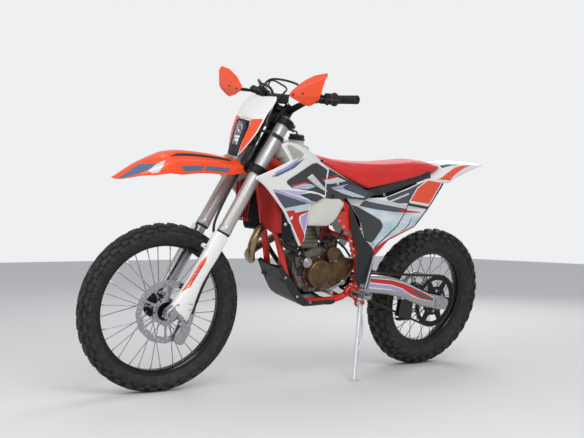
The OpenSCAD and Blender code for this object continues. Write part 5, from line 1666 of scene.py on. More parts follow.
def build_exhaust():
    """The header's loop as one smooth pipe, with its flange and weld beads, and a canister with its tip."""
    path = smooth_path(HEADER, 12)
    beads = [tube(path[i:i + 2], 19.6, 24, (0.1, 0.3, 1)) for i in (14, 40, 88)]
    flange = rod((150, 0, 700), (158, 0, 701), 27, 6)
    piece("exhaust_header_pipe", [tube(path, 18, 28, (0.1, 0.3, 1)), *beads, flange], CHASSIS, "header",
          ("exhaust_header",), 50)
    start, end = np.array([-340.0, -170, 705]), np.array([-610.0, -174, 760])
    length = np.linalg.norm(end - start)
    aim = np.eye(4)
    d = (end - start) / length
    second = unit(np.cross(d, (0, 1, 0)))
    aim[:3, :3] = np.stack([np.cross(second, d), second, d], 1)
    aim[:3, 3] = start
    body = lathe([(0, 0), (24, 0), (29, 6), (30, 22), (38, 40), (45, 52), (46, 60), (46, length - 34),
                  (44, length - 30), (0, length - 30)], 56)
    cap = lathe([(20, length - 31), (46, length - 31), (47, length - 26), (46, length - 8), (34, length + 2),
                 (26, length + 8), (26, length + 24), (22, length + 25), (20, length + 22)], 56, closed=True)
    bands = lathe([(46, 96), (47.4, 96), (47.4, 112), (46, 112)], 56, closed=True)
    piece("muffler_canister", body.moved(aim), CHASSIS, "alloy", ("muffler",), 30)
    strap = rod((-470, -136, 745), (-470, -118, 750), 9)
    piece("muffler_end_cap_and_band", [cap.moved(aim), bands.moved(aim), strap], CHASSIS, "black metal")


GUARD_TOP = [(28, 352), (60, 343), (84, 333), (104, 335), (122, 340), (149, 348)]


def guard_point(part, low):
    """The radiator guard's edge from the inside (0) to the outside (1); its top dips back behind the turned fork."""
    if low:
        return np.array([332 + 8 * part, 58 + 91 * part, 704 - 14 * part])
    y = 28 + 121 * part
    return np.array([np.interp(y, *np.array(GUARD_TOP, float).T), y, 864 - 12 * part])


def build_cooling():
    """Radiator cores with end tanks, a cap and upright louvre blades in front of each."""
    place = translation((276, 120, 758)) @ about_y(14) @ about_z(-20)
    core = box((-15, -39, -94), (15, 39, 94), 1)
    piece("radiator_cores", both_sides(core.moved(place)), CHASSIS, "core", ("radiators",))
    tanks = [box((-17, -41, s * 100 - 9), (17, 41, s * 100 + 9), 5) for s in (-1, 1)]
    tanks += [box((-17, 36, -96), (17, 42, 96), 2), box((-17, -42, -96), (17, -36, 96), 2),
              rod((-14, 0, -100), (-30, 0, -112), 10, 20)]
    filler = lathe([(0, 22), (14, 22), (15, 20), (15, 14), (10, 12), (10, 0), (0, 0)],
                   24).moved(translation((0, 10, 106)))
    piece("radiator_tanks", [both_sides(total(tanks).moved(place)), filler.moved(place)], CHASSIS,
          "black metal", (), 30)
    blades, rails = [], []
    for k in range(5):
        near, far = k / 5, (k + 1) / 5
        for low in (False, True):
            rails.append(hull_of([guard_point(part, low) - (d, 0, h) for part in (near, far) for d in (6, 14)
                                  for h in (0, 7)]))
        blades.append(hull_of([guard_point(part, low) - (back + d, 0, 0) for part, back in ((near, 0), (far, 9))
                               for low in (False, True) for d in (0, 2.5)]))
    duct = hull_of([(x, y, z) for x, z in ((346, 852), (338, 692), (318, 838), (300, 690)) for y in (147, 149.5)])
    strut = [rod((300, 132, 700), (334, 140, 704), 5, 12), rod((306, 110, 840), (330, 118, 850), 5, 12)]
    piece("radiator_louvres", both_sides(total([*blades, *rails, duct, *strut])), CHASSIS, "dark red",
          ("radiator_guards",), 25)
    knob = [cap_screw(7, 5).moved(place @ translation((8, 42, z)) @ about_x(-90)) for z in (-24, 78)]
    piece("radiator_screws", both_sides(total(knob)), CHASSIS, "zinc")


# ---------------------------------------------------------------- tank, shrouds, panels, tail and seat

def shroud_surface(x, z):
    """y: a plane that opens forwards, leaning in above the shoulder and below the belly, with a soft crease."""
    y = 134 + 0.0778 * (x + 194)
    y = y + 4 * np.exp(-((z - 880 - 0.35 * (x - 150)) / 60) ** 2)
    return y - 0.07 * np.clip(z - 985, 0, 200) - 0.10 * np.clip(830 - z, 0, 200)


def sunk(surface, depth):
    """A surface that lies further in by depth."""
    return lambda x, z: surface(x, z) - depth


WHITE_SHROUD = [(490, 923), (410, 955), (321, 994), (376, 1054), (348, 1068), (292, 1062), (240, 1046), (190, 1024),
                (120, 976), (98, 966), (104, 900), (98, 846), (130, 838), (172, 822), (171, 725), (168, 656),
                (190, 634), (248, 707), (310, 783), (395, 860)]
SHROUD_OPENING = [(345, 1052), (330, 1058), (256, 1030), (246, 1016), (305, 996)]
SHROUD_RECESS = [(328, 908), (318, 918), (196, 986), (172, 990), (128, 972), (106, 962), (110, 900), (104, 852),
                 (134, 862), (171, 870), (224, 875), (292, 882), (320, 898)]
DARK_SHROUD = [(328, 908), (318, 920), (196, 988), (172, 992), (120, 975), (-27, 921), (-180, 868), (-194, 857),
               (-143, 834), (-42, 842), (60, 838), (98, 844), (134, 858), (171, 866), (224, 871), (292, 878),
               (322, 896)]
SHROUD_FILMS = [
    ("slate", 0, [(390, 868), (319, 797), (176, 820)]),
    ("lilac", 0, [(396, 877), (366, 873), (170, 827), (160, 820), (176, 815), (388, 866)]),
    ("foil", 0, [(382, 878), (254, 870), (200, 870), (252, 859), (192, 838), (366, 876)]),
    ("charcoal", 0, [(249, 857), (189, 864), (144, 858), (112, 846), (147, 826), (176, 830)]),
    ("red film", 0, [(306, 785), (264, 791), (252, 779), (182, 790), (181, 781), (218, 771), (228, 760), (220, 739),
                     (178, 686), (174, 672), (178, 645), (189, 641), (202, 660)]),
    ("cool foil", 0, [(315, 795), (180, 817), (182, 793), (253, 782), (265, 794), (308, 788)]),
    ("lilac", 0, [(216, 762), (181, 779), (179, 728), (181, 695), (212, 738)]),
    ("blue grey", 0, [(413, 928), (383, 929), (297, 966), (242, 1008), (315, 975), (392, 937)]),
    ("lilac", 0, [(398, 944), (330, 975), (262, 1014), (256, 1010), (322, 966), (390, 938)]),
    ("red film", 3, [(306, 895), (221, 911), (203, 911), (209, 906), (295, 890)]),
    ("foil", 3, [(294, 888), (228, 903), (190, 901), (166, 890), (211, 879), (276, 881)]),
    ("red film", 3, [(133, 925), (66, 940), (40, 942), (47, 935), (123, 921)]),
    ("pale film", 3, [(125, 917), (42, 933), (-12, 917), (68, 905), (100, 903)]),
    ("cool foil", 3, [(72, 885), (-3, 883), (-140, 850), (-132, 845), (-60, 850), (3, 864)]),
    ("lilac", 3, [(80, 888), (-30, 906), (3, 891), (-7, 884)]),
    ("slate", 3, [(0, 887), (-38, 903), (-156, 866), (-146, 853)]),
]


def build_shrouds():
    """White shells with an open corner and a recess, the dark arm in it, films, a front rib and a pale blade."""
    surface = shroud_surface
    shell = panel(rounded(WHITE_SHROUD, 6, 3), surface, 4, 12, 2.5,
                  [rounded(SHROUD_OPENING, 5, 3), rounded(SHROUD_RECESS, 8, 3)])
    front = [(485, 921), (440, 896), (395, 860), (352, 822), (310, 783), (279, 745), (248, 707), (219, 671),
             (192, 637)]
    rib = tube(smooth_path([(x, float(surface(x, z)) - 1, z) for x, z in front], 4), 6.0, 12, (0, 1, 0.1))
    bosses = [cylinder_y(x, y0, float(surface(x, z)) - 3, z, 9) for x, z, y0 in ((40, 905, 134.3), (272, 758, 164))]
    piece("shroud_shells", both_sides(total([shell, rib, *bosses])), CHASSIS, "white", ("shrouds",), 32)
    arm = panel(rounded(DARK_SHROUD, 7, 3), sunk(surface, 3), 3, 12, 2.0)
    piece("shroud_dark_arms", both_sides(arm), CHASSIS, "charcoal", (), 32)
    blade = panel(rounded([(219, 927), (192, 944), (180, 936), (92, 872), (100, 868), (166, 896)], 4, 2),
                  sunk(surface, -1.5), 5, 10, 3.5)
    piece("shroud_blades", both_sides(blade), CHASSIS, "pale film", (), 32)
    layered_films("shroud_film", SHROUD_FILMS, surface)
    screws = total([cap_screw(6, 3).copies(along_y([(x, float(surface(x, z)) - 0.5, z)])) for x, z in
                    ((60, 852), (148, 1000))])
    piece("shroud_screws", both_sides(screws), CHASSIS, "black metal")


def layered_films(name, films, surface):
    """Stickers on a panel, each (finish, depth of its panel, outline); a later one lies on an earlier one."""
    groups = {}
    for order, (look, depth, outline) in enumerate(films):
        lift = 0.3 + 0.08 * order - depth
        groups.setdefault(look, []).append(decal(rounded(outline, 1.5, 1), sunk(surface, -lift)))
    for look, shapes in groups.items():
        piece(name + "_" + look.replace(" ", "_"), both_sides(total(shapes)), CHASSIS, look, (), 60)


def tank_lobe_surface(x, z):
    """A low dome over the tank's lobe."""
    return 152 + 9 * np.exp(-((x - 80) / 80) ** 2 - ((z - 778) / 52) ** 2) - 0.04 * np.abs(x - 80)


def build_tank():
    """Side lobes, the saddle between them, the neck under its ribbed cap, and the cap's vent elbow."""
    lobe = [(172, 830), (120, 850), (92, 846), (16, 844), (-24, 820), (-4, 786), (18, 748), (46, 726), (62, 720),
            (168, 720)]
    shell = panel(rounded(lobe, 12, 4), tank_lobe_surface, 34, 12, 8)
    skirts = []
    for x in (262, 210, 160, 110, 60, 10, -40):
        top = np.interp(x, (-45, 124, 160, 242, 262), (924, 996, 1010, 1010, 980))
        low = np.interp(x, (-45, 20, 60, 170, 262), (850, 842, 846, 850, 960))
        skirts.append([(x, -130, low), (x, -132, (low + top) / 2), (x, -124, top - 6), (x, 0, top), (x, 124, top - 6),
                       (x, 132, (low + top) / 2), (x, 130, low), (x, 121, low), (x, 116, top - 18),
                       (x, -116, top - 18), (x, -121, low)])
    neck = []
    for x, half, low, top in ((292, 34, 1000, 1040), (280, 46, 980, 1054), (230, 50, 976, 1061), (170, 50, 976, 1057),
                              (134, 48, 976, 1046), (126, 40, 980, 1030)):
        a = np.radians(np.arange(0, 360, 15))
        c, s = np.cos(a), np.sin(a)
        neck.append(np.stack([np.full(24, x), half * np.sign(c) * np.abs(c) ** 0.5,
                              (low + top) / 2 + (top - low) / 2 * np.sign(s) * np.abs(s) ** 0.5], -1))
    collar = lathe([(0, 1064), (33, 1064), (34, 1062), (34, 1040), (0, 1040)], 48).moved(translation((172, 0, 0)))
    piece("fuel_tank_shell", [both_sides(shell), loft(skirts), loft(neck), collar], CHASSIS, "tank",
          ("fuel_tank",), 40)
    a = np.linspace(0, 2 * np.pi, 144, endpoint=False)
    profile = [(0.0, 0), (36, 0), (36, 6), (31, 7), (31, 19), (28, 22), (10, 22), (10, 24), (0, 24)]
    rings = []
    for t in a:
        rib = 1.0 * (np.cos(24 * t) > 0)
        for r, h in profile:
            if 6 < h < 20 and r > 20:
                r = r + rib
            rings.append((r * math.cos(t), r * math.sin(t), h))
    cap = Shape(rings, [grid_faces(144, len(profile), True, False)]).moved(translation((172, 0, 1064.3)))
    vent = bent([(174, 0, 1085), (174, 0, 1092), (180, 2, 1098), (192, 5, 1099), (204, 8, 1096)], 3.5, 14)
    piece("fuel_cap_and_vent", [cap, vent], CHASSIS, "black", ("tank_cap",), 25)


SEAT_FLOOR = [(-655, 985), (-600, 970), (-488, 942), (-198, 877), (-180, 876), (-11, 936), (124, 1001)]
SEAT_TOP = [(-655, 994), (-610, 1006), (-520, 1006), (-420, 996), (-290, 984), (-150, 981), (-40, 986), (60, 1001),
            (124, 1018)]
SEAT_HALF = [(-655, 58), (-610, 84), (-520, 101), (-380, 106), (-200, 103), (-40, 91), (60, 74), (124, 50)]


def seat_section(x, shrink):
    """Half width w and heights (z0, z1) at x; point = (x, w sgn c |c|^0.55, z0 + 6 + (z1 - z0 - 6) s^0.62)."""
    z1, half = (float(eased(x, rows)) for rows in (SEAT_TOP, SEAT_HALF))
    z0 = float(np.interp(x, *np.array(SEAT_FLOOR).T)) + shrink
    z1, half = max(z1 - shrink, z0 + 8), half - shrink
    a = np.radians(np.arange(0, 181, 10))
    c, s = np.cos(a), np.sin(a)
    arch = np.stack([np.full(len(a), x), half * np.sign(c) * np.abs(c) ** 0.55,
                     z0 + 5 + (z1 - z0 - 5) * np.abs(s) ** 0.62], -1)
    floor = [(x, y, z0) for y in np.linspace(-half + 4, half - 4, 7)]
    return np.vstack([arch, floor])


def puffed(obj, cap, voxel, pressure, pinned):
    """Rounds a pad like stuffed cloth: voxel remesh, cloth under pressure for 20 frames with some points
    pinned, each point's move held to a cap."""
    scene = bpy.context.scene
    remesh = obj.modifiers.new("even mesh", "REMESH")
    remesh.mode = "VOXEL"
    remesh.voxel_size = voxel
    even = bpy.data.meshes.new_from_object(obj.evaluated_get(bpy.context.evaluated_depsgraph_get()))
    obj.modifiers.clear()
    materials = list(obj.data.materials)
    obj.data = even
    even.materials.clear()
    for material in materials:
        even.materials.append(material)
    start = np.zeros(len(even.vertices) * 3, np.float32)
    even.vertices.foreach_get("co", start)
    start = start.reshape(-1, 3)
    group = obj.vertex_groups.new(name="held")
    group.add(np.nonzero(pinned(start))[0].tolist(), 1.0, "REPLACE")
    cloth = obj.modifiers.new("stuffing", "CLOTH")
    cloth.settings.use_pressure = True
    cloth.settings.uniform_pressure_force = pressure
    cloth.settings.effector_weights.gravity = 0.0
    cloth.settings.vertex_group_mass = "held"
    cloth.point_cache.frame_start, cloth.point_cache.frame_end = 1, 20
    for step in range(1, 21):
        scene.frame_set(step)
    soft = obj.evaluated_get(bpy.context.evaluated_depsgraph_get()).to_mesh()
    moved = np.zeros(len(even.vertices) * 3, np.float32)
    soft.vertices.foreach_get("co", moved)
    move = moved.reshape(-1, 3) - start
    far = np.maximum(np.linalg.norm(move, axis=1, keepdims=True), 1e-9)
    obj.modifiers.clear()
    obj.vertex_groups.clear()
    even.vertices.foreach_set("co", (start + move * np.minimum(1, cap / far)).astype(np.float32).ravel())
    even.update()
    scene.frame_set(1)


def build_seat():
    """A long foam saddle under stretched vinyl, with a seam along each shoulder pressed in by
    1.6 exp(-(d / 2.2)^2) mm."""
    pad = bpy.context.scene.enduro_seat
    stations = np.concatenate([np.linspace(124, -600, 40), [-620, -636, -648, -655]])
    shape = loft([seat_section(x, 4.0) for x in stations])
    obj = make_object("seat_pad", shape, CHASSIS, FINISHES["seat"], 60, ("seat",))
    home = np.linalg.inv(PARKED)

    def pinned(points):
        local = points @ home[:3, :3].T + home[:3, 3]
        return local[:, 2] < np.interp(local[:, 0], *np.array(SEAT_FLOOR).T) + 12

    puffed(obj, pad.swell, pad.voxel, pad.pressure, pinned)
    fine = obj.modifiers.new("fine", "SUBSURF")
    fine.levels = fine.render_levels = 1
    dense = bpy.data.meshes.new_from_object(obj.evaluated_get(bpy.context.evaluated_depsgraph_get()))
    obj.modifiers.clear()
    obj.data = dense
    co = np.zeros(len(dense.vertices) * 3, np.float32)
    normal = np.zeros(len(dense.vertices) * 3, np.float32)
    dense.vertices.foreach_get("co", co)
    dense.vertex_normals.foreach_get("vector", normal)
    co, normal = co.reshape(-1, 3), normal.reshape(-1, 3)
    local = co @ home[:3, :3].T + home[:3, 3]
    low = np.interp(local[:, 0], *np.array(SEAT_FLOOR).T)
    high = eased(local[:, 0], SEAT_TOP)
    seam = local[:, 2] - (low + 0.80 * (high - low))
    press = 1000 * pad.seam_depth * np.exp(-(seam / 2.2) ** 2) * (np.abs(local[:, 1]) > 30)
    dense.vertices.foreach_set("co", (co - normal * press[:, None] * 0.001).astype(np.float32).ravel())
    dense.shade_smooth()


def side_surface(x, z):
    """A side panel's face: bulged behind the seat's corner, drawn in towards the tail and its foot."""
    return (109 + 13 * np.exp(-((x + 300) / 190) ** 2 - ((z - 810) / 120) ** 2)
            - 0.03 * np.clip(-x - 480, 0, 400) - 6 * np.exp(-((x + 60) / 60) ** 2))


SIDE_PANEL = [(-64, 836), (-150, 838), (-276, 846), (-416, 892), (-542, 938), (-649, 927), (-644, 912), (-577, 806),
              (-500, 714), (-343, 645), (-266, 560), (-244, 580), (-230, 622), (-190, 660), (-154, 736), (-82, 818)]
SIDE_FILMS = [
    ("slate", 0, [(-280, 846), (-416, 888), (-510, 924), (-536, 934), (-475, 882), (-433, 823), (-315, 821)]),
    ("pale film", 0, [(-290, 829), (-420, 871), (-425, 864), (-312, 826)]),
    ("cool foil", 0, [(-127, 803), (-353, 780), (-548, 784), (-494, 716), (-403, 676), (-290, 622), (-266, 588),
                      (-250, 612), (-240, 640), (-285, 737)]),
    ("slate", 0, [(-133, 805), (-160, 830), (-290, 817), (-424, 795), (-424, 788), (-358, 781), (-228, 792)]),
    ("pale film", 0, [(-164, 843), (-230, 840), (-424, 814), (-556, 796), (-415, 797), (-176, 827)]),
    ("red film", 0, [(-353, 781), (-385, 794), (-524, 782), (-504, 779), (-406, 780)]),
    ("charcoal", 0, [(-70, 812), (-125, 802), (-268, 744), (-290, 720), (-288, 702), (-257, 650), (-240, 636),
                     (-200, 650), (-160, 726), (-94, 806)]),
    ("dark film", 0, [(-431, 868), (-435, 867), (-421, 788), (-383, 715), (-327, 664), (-268, 614), (-264, 618),
                      (-322, 669), (-377, 718), (-415, 789)]),
    ("dark film", 0, [(-464, 754), (-466, 751), (-456, 723), (-437, 701), (-404, 688), (-405, 691), (-434, 704),
                      (-452, 726)]),
    ("red film", 0, [(-260, 610), (-340, 656), (-494, 720), (-498, 714), (-343, 649), (-268, 572)]),
    ("white", 0, [(-534, 937), (-641, 927), (-570, 812), (-426, 828), (-470, 896)]),
    ("orange film", 0, [(-539, 931), (-631, 923), (-568, 820), (-437, 835), (-476, 894)]),
    ("dark film", 0, [(-430, 824), (-566, 808), (-556, 797), (-424, 812)]),
    ("dark film", 0, [(-640, 926), (-646, 914), (-576, 808), (-500, 718), (-494, 722), (-567, 808)]),
]


def build_side_panels():
    """Panels with layered films and a blank number field, a glossy strip above, bolts and inner posts."""
    shell = panel(rounded(SIDE_PANEL, 6, 3), side_surface, 4, 12, 2.5)
    post = cylinder_y(-300, 97.3, 112, 842, 7, 16, 1)
    piece("side_panel_shells", both_sides(shell + post), CHASSIS, "white", ("side_panels",), 32)
    layered_films("side_film", SIDE_FILMS, side_surface)
    strip = panel(rounded([(-84, 862), (-196, 876), (-434, 940), (-556, 972), (-566, 940), (-530, 932), (-416, 896),
                           (-290, 850), (-150, 842), (-90, 846)], 6, 3), lambda x, z: 100 + 0 * x, 6, 14, 3)
    ribs = both_sides(sideways([(-230, 880), (-420, 928), (-430, 922), (-250, 868)], 99, 102, 3, 1))
    piece("under_seat_strips", [both_sides(strip), ribs], CHASSIS, "glossy black", (), 32)
    screws = total([cap_screw(6, 3).copies(along_y([(x, float(side_surface(x, z)) - 0.5, z)])) for x, z in
                    ((-252, 632), (-180, 672), (-266, 860))])
    piece("side_panel_screws", both_sides(screws), CHASSIS, "zinc")


TAIL_ROWS = [(-984, 26, 1008, 1003), (-948, 38, 1011, 1000), (-900, 58, 1013, 990), (-800, 82, 1014, 962),
             (-722, 94, 1011, 930), (-690, 99, 1007, 908), (-672, 101, 1003, 908), (-640, 104, 984, 911),
             (-600, 105, 971, 915), (-520, 105, 946, 916)]


def tail_surface(x, t):
    """t from 0 on the spine to 100 at the rim: y = half sin(0.9 t), z = edge + (top - edge) cos(0.9 t)^0.5."""
    rows = np.array(TAIL_ROWS, float)
    half, top, edge = (np.interp(x, rows[:, 0], rows[:, k]) for k in (1, 2, 3))
    a = np.radians(0.9 * np.clip(t, -99.9, 99.9))
    z = edge + (top - edge) * np.sqrt(np.cos(a)) + 2.0 * np.exp(-(t / 9) ** 2)
    return np.stack([x, half * np.sin(a), z], -1)


def build_tail():
    """The rear mudguard with its spine, films and underside rib."""
    outline = [(-520, -99), (-690, -99), (-722, -99), (-930, -99), (-972, -92), (-982, -50), (-984, 0)]
    outline = outline + [(x, -t) for x, t in outline[::-1]][1:]
    shell = wrapped(outline, tail_surface, 0, -4, 8, 1.0, rings=(1.5, 4))
    piece("rear_mudguard", shell, CHASSIS, "white", ("rear_fender",), 40)
    films = {"slate": [(-664, 30), (-664, 46), (-740, 46), (-900, 34), (-760, 32)],
             "orange film": [(-606, 90), (-660, 76), (-740, 60), (-830, 48), (-950, 36), (-880, 56), (-800, 76),
                             (-740, 88), (-696, 96)]}
    for look, outline in films.items():
        shape = film_on(tail_surface, outline)
        piece("tail_film_" + look.split()[0], both_sides(shape), CHASSIS, look, (), 60)
    liner = sideways([(-262, 702), (-262, 858), (-480, 912), (-556, 903), (-518, 802), (-450, 717)], -77, 77, 10, 5)
    ribs = [box((-300 - 40 * k, -79, 742 + 6 * k), (-294 - 40 * k, 79, 850 + 8 * k), 2) for k in range(5)]
    piece("airbox_case", [liner, *ribs], CHASSIS, "black", ("airbox",))
    guard = [(-64, 806), (-76, 806), (-112, 752), (-132, 721), (-176, 662), (-230, 622), (-252, 588), (-252, 500),
             (-242, 424), (-196, 434), (-156, 474), (-148, 530), (-150, 590), (-122, 650), (-96, 690), (-90, 716)]
    shield = panel(rounded(guard, 8, 3), lambda x, z: 131 + 4 * np.exp(-((z - 600) / 120) ** 2), 4, 12, 3)
    piece("frame_guard_shields", both_sides(shield), CHASSIS, "black", ("frame_guards",), 32)


def build_skid_plate():
    """A bent plate under the cradle that narrows to its nose, with turned-up sides, ribs, vents and bolts."""
    bend = [(-80, 360, 18), (74, 354, 26), (106, 364, 32), (138, 386, 36), (190, 452, 34), (236, 520, 20)]
    path = smooth_path([(x, 0, z) for x, z, _ in bend], 6)
    walls = np.interp(path[:, 0], [x for x, _, _ in bend], [h for _, _, h in bend])
    rows = []
    for point, d, wall in zip(path, np.gradient(path, axis=0), walls):
        n = np.array([-d[2], 0, d[0]]) / np.hypot(d[0], d[2])
        half = np.interp(point[0], [90, 236], [109, 80])
        across = np.array([-1, -1, -0.94, -0.5, 0, 0.5, 0.94, 1, 1]) * half
        lift = np.array([wall, 7, 0, 0, 0, 0, 0, 7, wall])
        low = [point + (0, y, 0) + n * l for y, l in zip(across, lift)]
        inner = np.sign(across) * np.minimum(np.abs(across), half - 3.5)
        high = [point + (0, y, 0) + n * max(l, 3.5) for y, l in zip(inner, lift)][::-1]
        rows.append(np.array(low + high))
    feet = both_sides(box((-70, 60, 357), (-30, 108, 371), 3) + box((186, 52, 456), (206, 82, 500), 4))
    piece("skid_plate_shell", [loft(rows), feet], CHASSIS, "black", ("skid_plate",), 32)
    screws = total([cap_screw(6, 3).copies(along_y([(x, y, z)])) for x, y, z in ((196, 85, 480), (130, 99, 398),
                                                                                (60, 107, 372))])
    piece("skid_plate_screws", both_sides(screws), CHASSIS, "zinc")


def build_foot_controls():
    """Serrated pegs with springs, a forged shift lever and a brake pedal with a toothed tip."""
    x, y, z = -165.0, 128.0, 420.0
    outline = rounded([(x - 26, 0), (x + 24, 0), (x + 26, 60), (x + 20, 98), (x - 20, 100), (x - 27, 60)], 6, 3)
    window = [[(x - 18, 20), (x + 17, 20), (x + 17, 46), (x - 18, 46)], [(x - 18, 54), (x + 17, 54), (x + 14, 88),
                                                                         (x - 16, 90)]]
    rim = pierced(outline, window, -12, 5, 1.2, 14).moved(laid_flat((0, y, z)))
    tooth = Shape([(-3, -3.4, 0), (3, -3.4, 0), (3, 3.4, 0), (-3, 3.4, 0), (-2, 0, 9), (2, 0, 9)],
                  [np.array([[3, 2, 1, 0]]), np.array([[0, 1, 5, 4], [2, 3, 4, 5]]),
                   np.array([[1, 2, 5], [3, 0, 4]])])
    spots = [translation((x + dx, y + 8 + 9.4 * k, z + 4)) for dx in (-23, 21) for k in range(10)]
    hinge = [rod((x - 30, y + 6, z - 8), (x + 28, y + 6, z - 8), 6, 16),
             box((x - 12, y + 2, z - 22), (x + 12, y + 30, z - 10), 3)]
    piece("footpegs_serrated", both_sides(total([rim, tooth.copies(spots), *hinge])), CHASSIS, "steel",
          ("footpegs",), 25)
    hub = cylinder_y(-96, 94.5, 126, 462, 12, 24, 2)
    blade = bent([(-96, 120, 462), (-70, 124, 452), (-36, 130, 440), (-6, 134, 432), (2, 136, 431)], 6.5,
                 14, (0, 1, 0.1), flat=0.7)
    tip = rod((0, 126, 431), (0, 168, 430), 8.5, 20)
    ribs = [rod((0, 136 + 6 * k, 430.6), (0, 138 + 6 * k, 430.6), 9.6, 20) for k in range(5)]
    pedal = [rod((-128, -109, 384), (-128, -142, 384), 11, 24),
             bent([(-128, -136, 384), (-80, -137, 388), (-30, -138, 398), (14, -140, 408)], 6.5, 14, (0, 1, 0.1),
                  flat=0.7), box((4, -166, 402), (38, -132, 410), 2)]
    teeth = tooth.copies([translation((10 + 7 * k, -162 + 9 * j, 409)) for k in range(4) for j in range(4)])
    piece("shift_lever_and_brake_pedal", [hub, blade, tip, *ribs, *pedal, teeth], CHASSIS, "alloy",
          ("foot_controls",), 40)


def build_rear_suspension():
    """Box-section arms with films, axle blocks and chain adjusters; a coil spring round the damper."""
    ax, az = REAR_AXLE[0], REAR_AXLE[2]
    edge = [(-240, 486), (-310, 484), (-400, 474), (-487, 452), (ax + 100, az + 52), (ax - 20, az + 30),
            (ax - 56, az + 14), (ax - 58, az - 16), (ax - 44, az - 32), (ax, az - 34), (ax + 140, az - 6),
            (-485, 372), (-380, 394), (-244, 408)]
    arm = sideways(edge, 92, 120, 10, 5)
    nose = sideways([(-180, 464), (-205, 472), (-300, 466), (-300, 420), (-205, 418), (-180, 426)], 84, 96, 8, 3)
    across = box((-345, -92, 413), (-261, 92, 467), 8)
    lug = box((-320, -20, 460), (-280, 20, 480), 4)
    block = sideways([(ax + 34, az + 22), (ax - 40, az + 20), (ax - 46, az - 18), (ax + 30, az - 22)], 118, 125, 5, 2)
    piece("swingarm_castings", [both_sides(total([arm, nose, block])), across, lug], CHASSIS, "alloy",
          ("swingarm",), 32)
    axle = lathe([(7, -128), (12, -128), (12, 128), (7, 128)], 48, closed=True).moved(
        translation((ax, 0, az)) @ about_x(-90))
    nuts = both_sides(cylinder_y(ax, 125, 127.8, az, 17, 6, 1))
    adjust = both_sides(rod((ax - 46, 106, az), (ax - 62, 106, az - 4), 4, 12) + rod((ax - 56, 106, az - 2),
                                                                                   (ax - 60, 106, az - 3), 8, 6))
    piece("rear_axle_and_adjusters", [axle, nuts, adjust], CHASSIS, "steel")
    films = [("white", 0,
              [(-262, 476), (-400, 464), (-487, 443), (-600, 404), (-690, 368), (-690, 348), (-600, 362), (-487, 396),
               (-400, 414), (-262, 428)]),
             ("lilac", 0,
              [(-262, 450), (-400, 436), (-470, 416), (-540, 384), (-500, 388), (-400, 418), (-262, 434)]),
             ("red film", 0,
              [(-262, 474), (-400, 461), (-487, 440), (-600, 401), (-688, 366), (-688, 350), (-600, 365), (-540, 386),
               (-470, 420), (-400, 440), (-262, 456)]),
             ("slate", 0, [(-520, 420), (-610, 388), (-688, 360), (-688, 352), (-620, 366), (-560, 388)])]
    layered_films("swingarm_film", films, lambda x, z: 120.0 + 0 * x)
    top, foot = np.array([-178.0, 0, 806]), np.array([-300.0, 0, 484])
    d = unit(foot - top)
    side = np.cross(d, (0, 1, 0))
    turn = np.linspace(0, 2 * np.pi * 7, 7 * 22)
    run = 120 + turn / turn[-1] * 176
    around = np.cos(turn)[:, None] * side + np.sin(turn)[:, None] * np.array([0, 1.0, 0])
    coil = top + d * run[:, None] + 29 * around
    piece("shock_spring", tube(coil, 5.5, 10, tuple(d)), CHASSIS, "white", (), 50)
    body = [rod(top, foot, 10, 24), rod(top + d * 18, top + d * 118, 25, 40),
            rod(top + d * 100, top + d * 118, 33, 40), rod(top + d * 300, top + d * 310, 33, 40),
            cylinder_y(top[0], -22, 22, top[2], 15, 32, 2), cylinder_y(foot[0], -18, 18, foot[2] + 14, 16, 32, 2),
            rod(top + d * 30 + (-34, 30, 0), top + d * 120 + (-34, 30, 0), 17, 32)]
    piece("shock_body", body, CHASSIS, "black metal", ("rear_shock",))
    x0, x1 = ax + 150, ax + 240
    guide = sideways([(x0, 252), (x0 + 4, 350), (x1 - 4, 352), (x1, 272)], 66, 68.5, 6, 1)
    guide = guide + sideways([(x0, 252), (x0 + 4, 350), (x1 - 4, 352), (x1, 272)], 84.5, 91.5, 6, 2)
    low = box((x0 + 4, 66, 252), (x1 - 4, 91, 262), 2)
    piece("chain_guide_block", [guide, low], CHASSIS, "black", ("chain_guide",))
    caliper = [box((ax + 66, -91.6, az), (ax + 146, -77.5, az + 50), 7),
               box((ax + 68, -64.5, az + 2), (ax + 144, -58.5, az + 48), 2.5),
               box((ax + 110, -90, az + 44), (ax + 146, -59, az + 51), 3),
               cylinder_y(ax + 106, -92, -77, az + 26, 15, 32, 2)]
    piece("rear_caliper_body", caliper, CHASSIS, "black metal", ("rear_caliper",))
    spring = [rod((-240, 141, 586), (-207, 146, 400), 4.6, 16), rod((-240, 134.5, 586), (-240, 146, 586), 5, 16)]
    start, reach = np.array((-240, 141, 586)), np.array((33, 5, -186))
    coils = [rod(start + t * reach, start + (t + 0.008) * reach, 5.6, 14) for t in np.linspace(0.3, 0.9, 32)]
    piece("stand_spring_rod", [*spring, *coils], CHASSIS, "zinc", ("stand_spring",), 40)


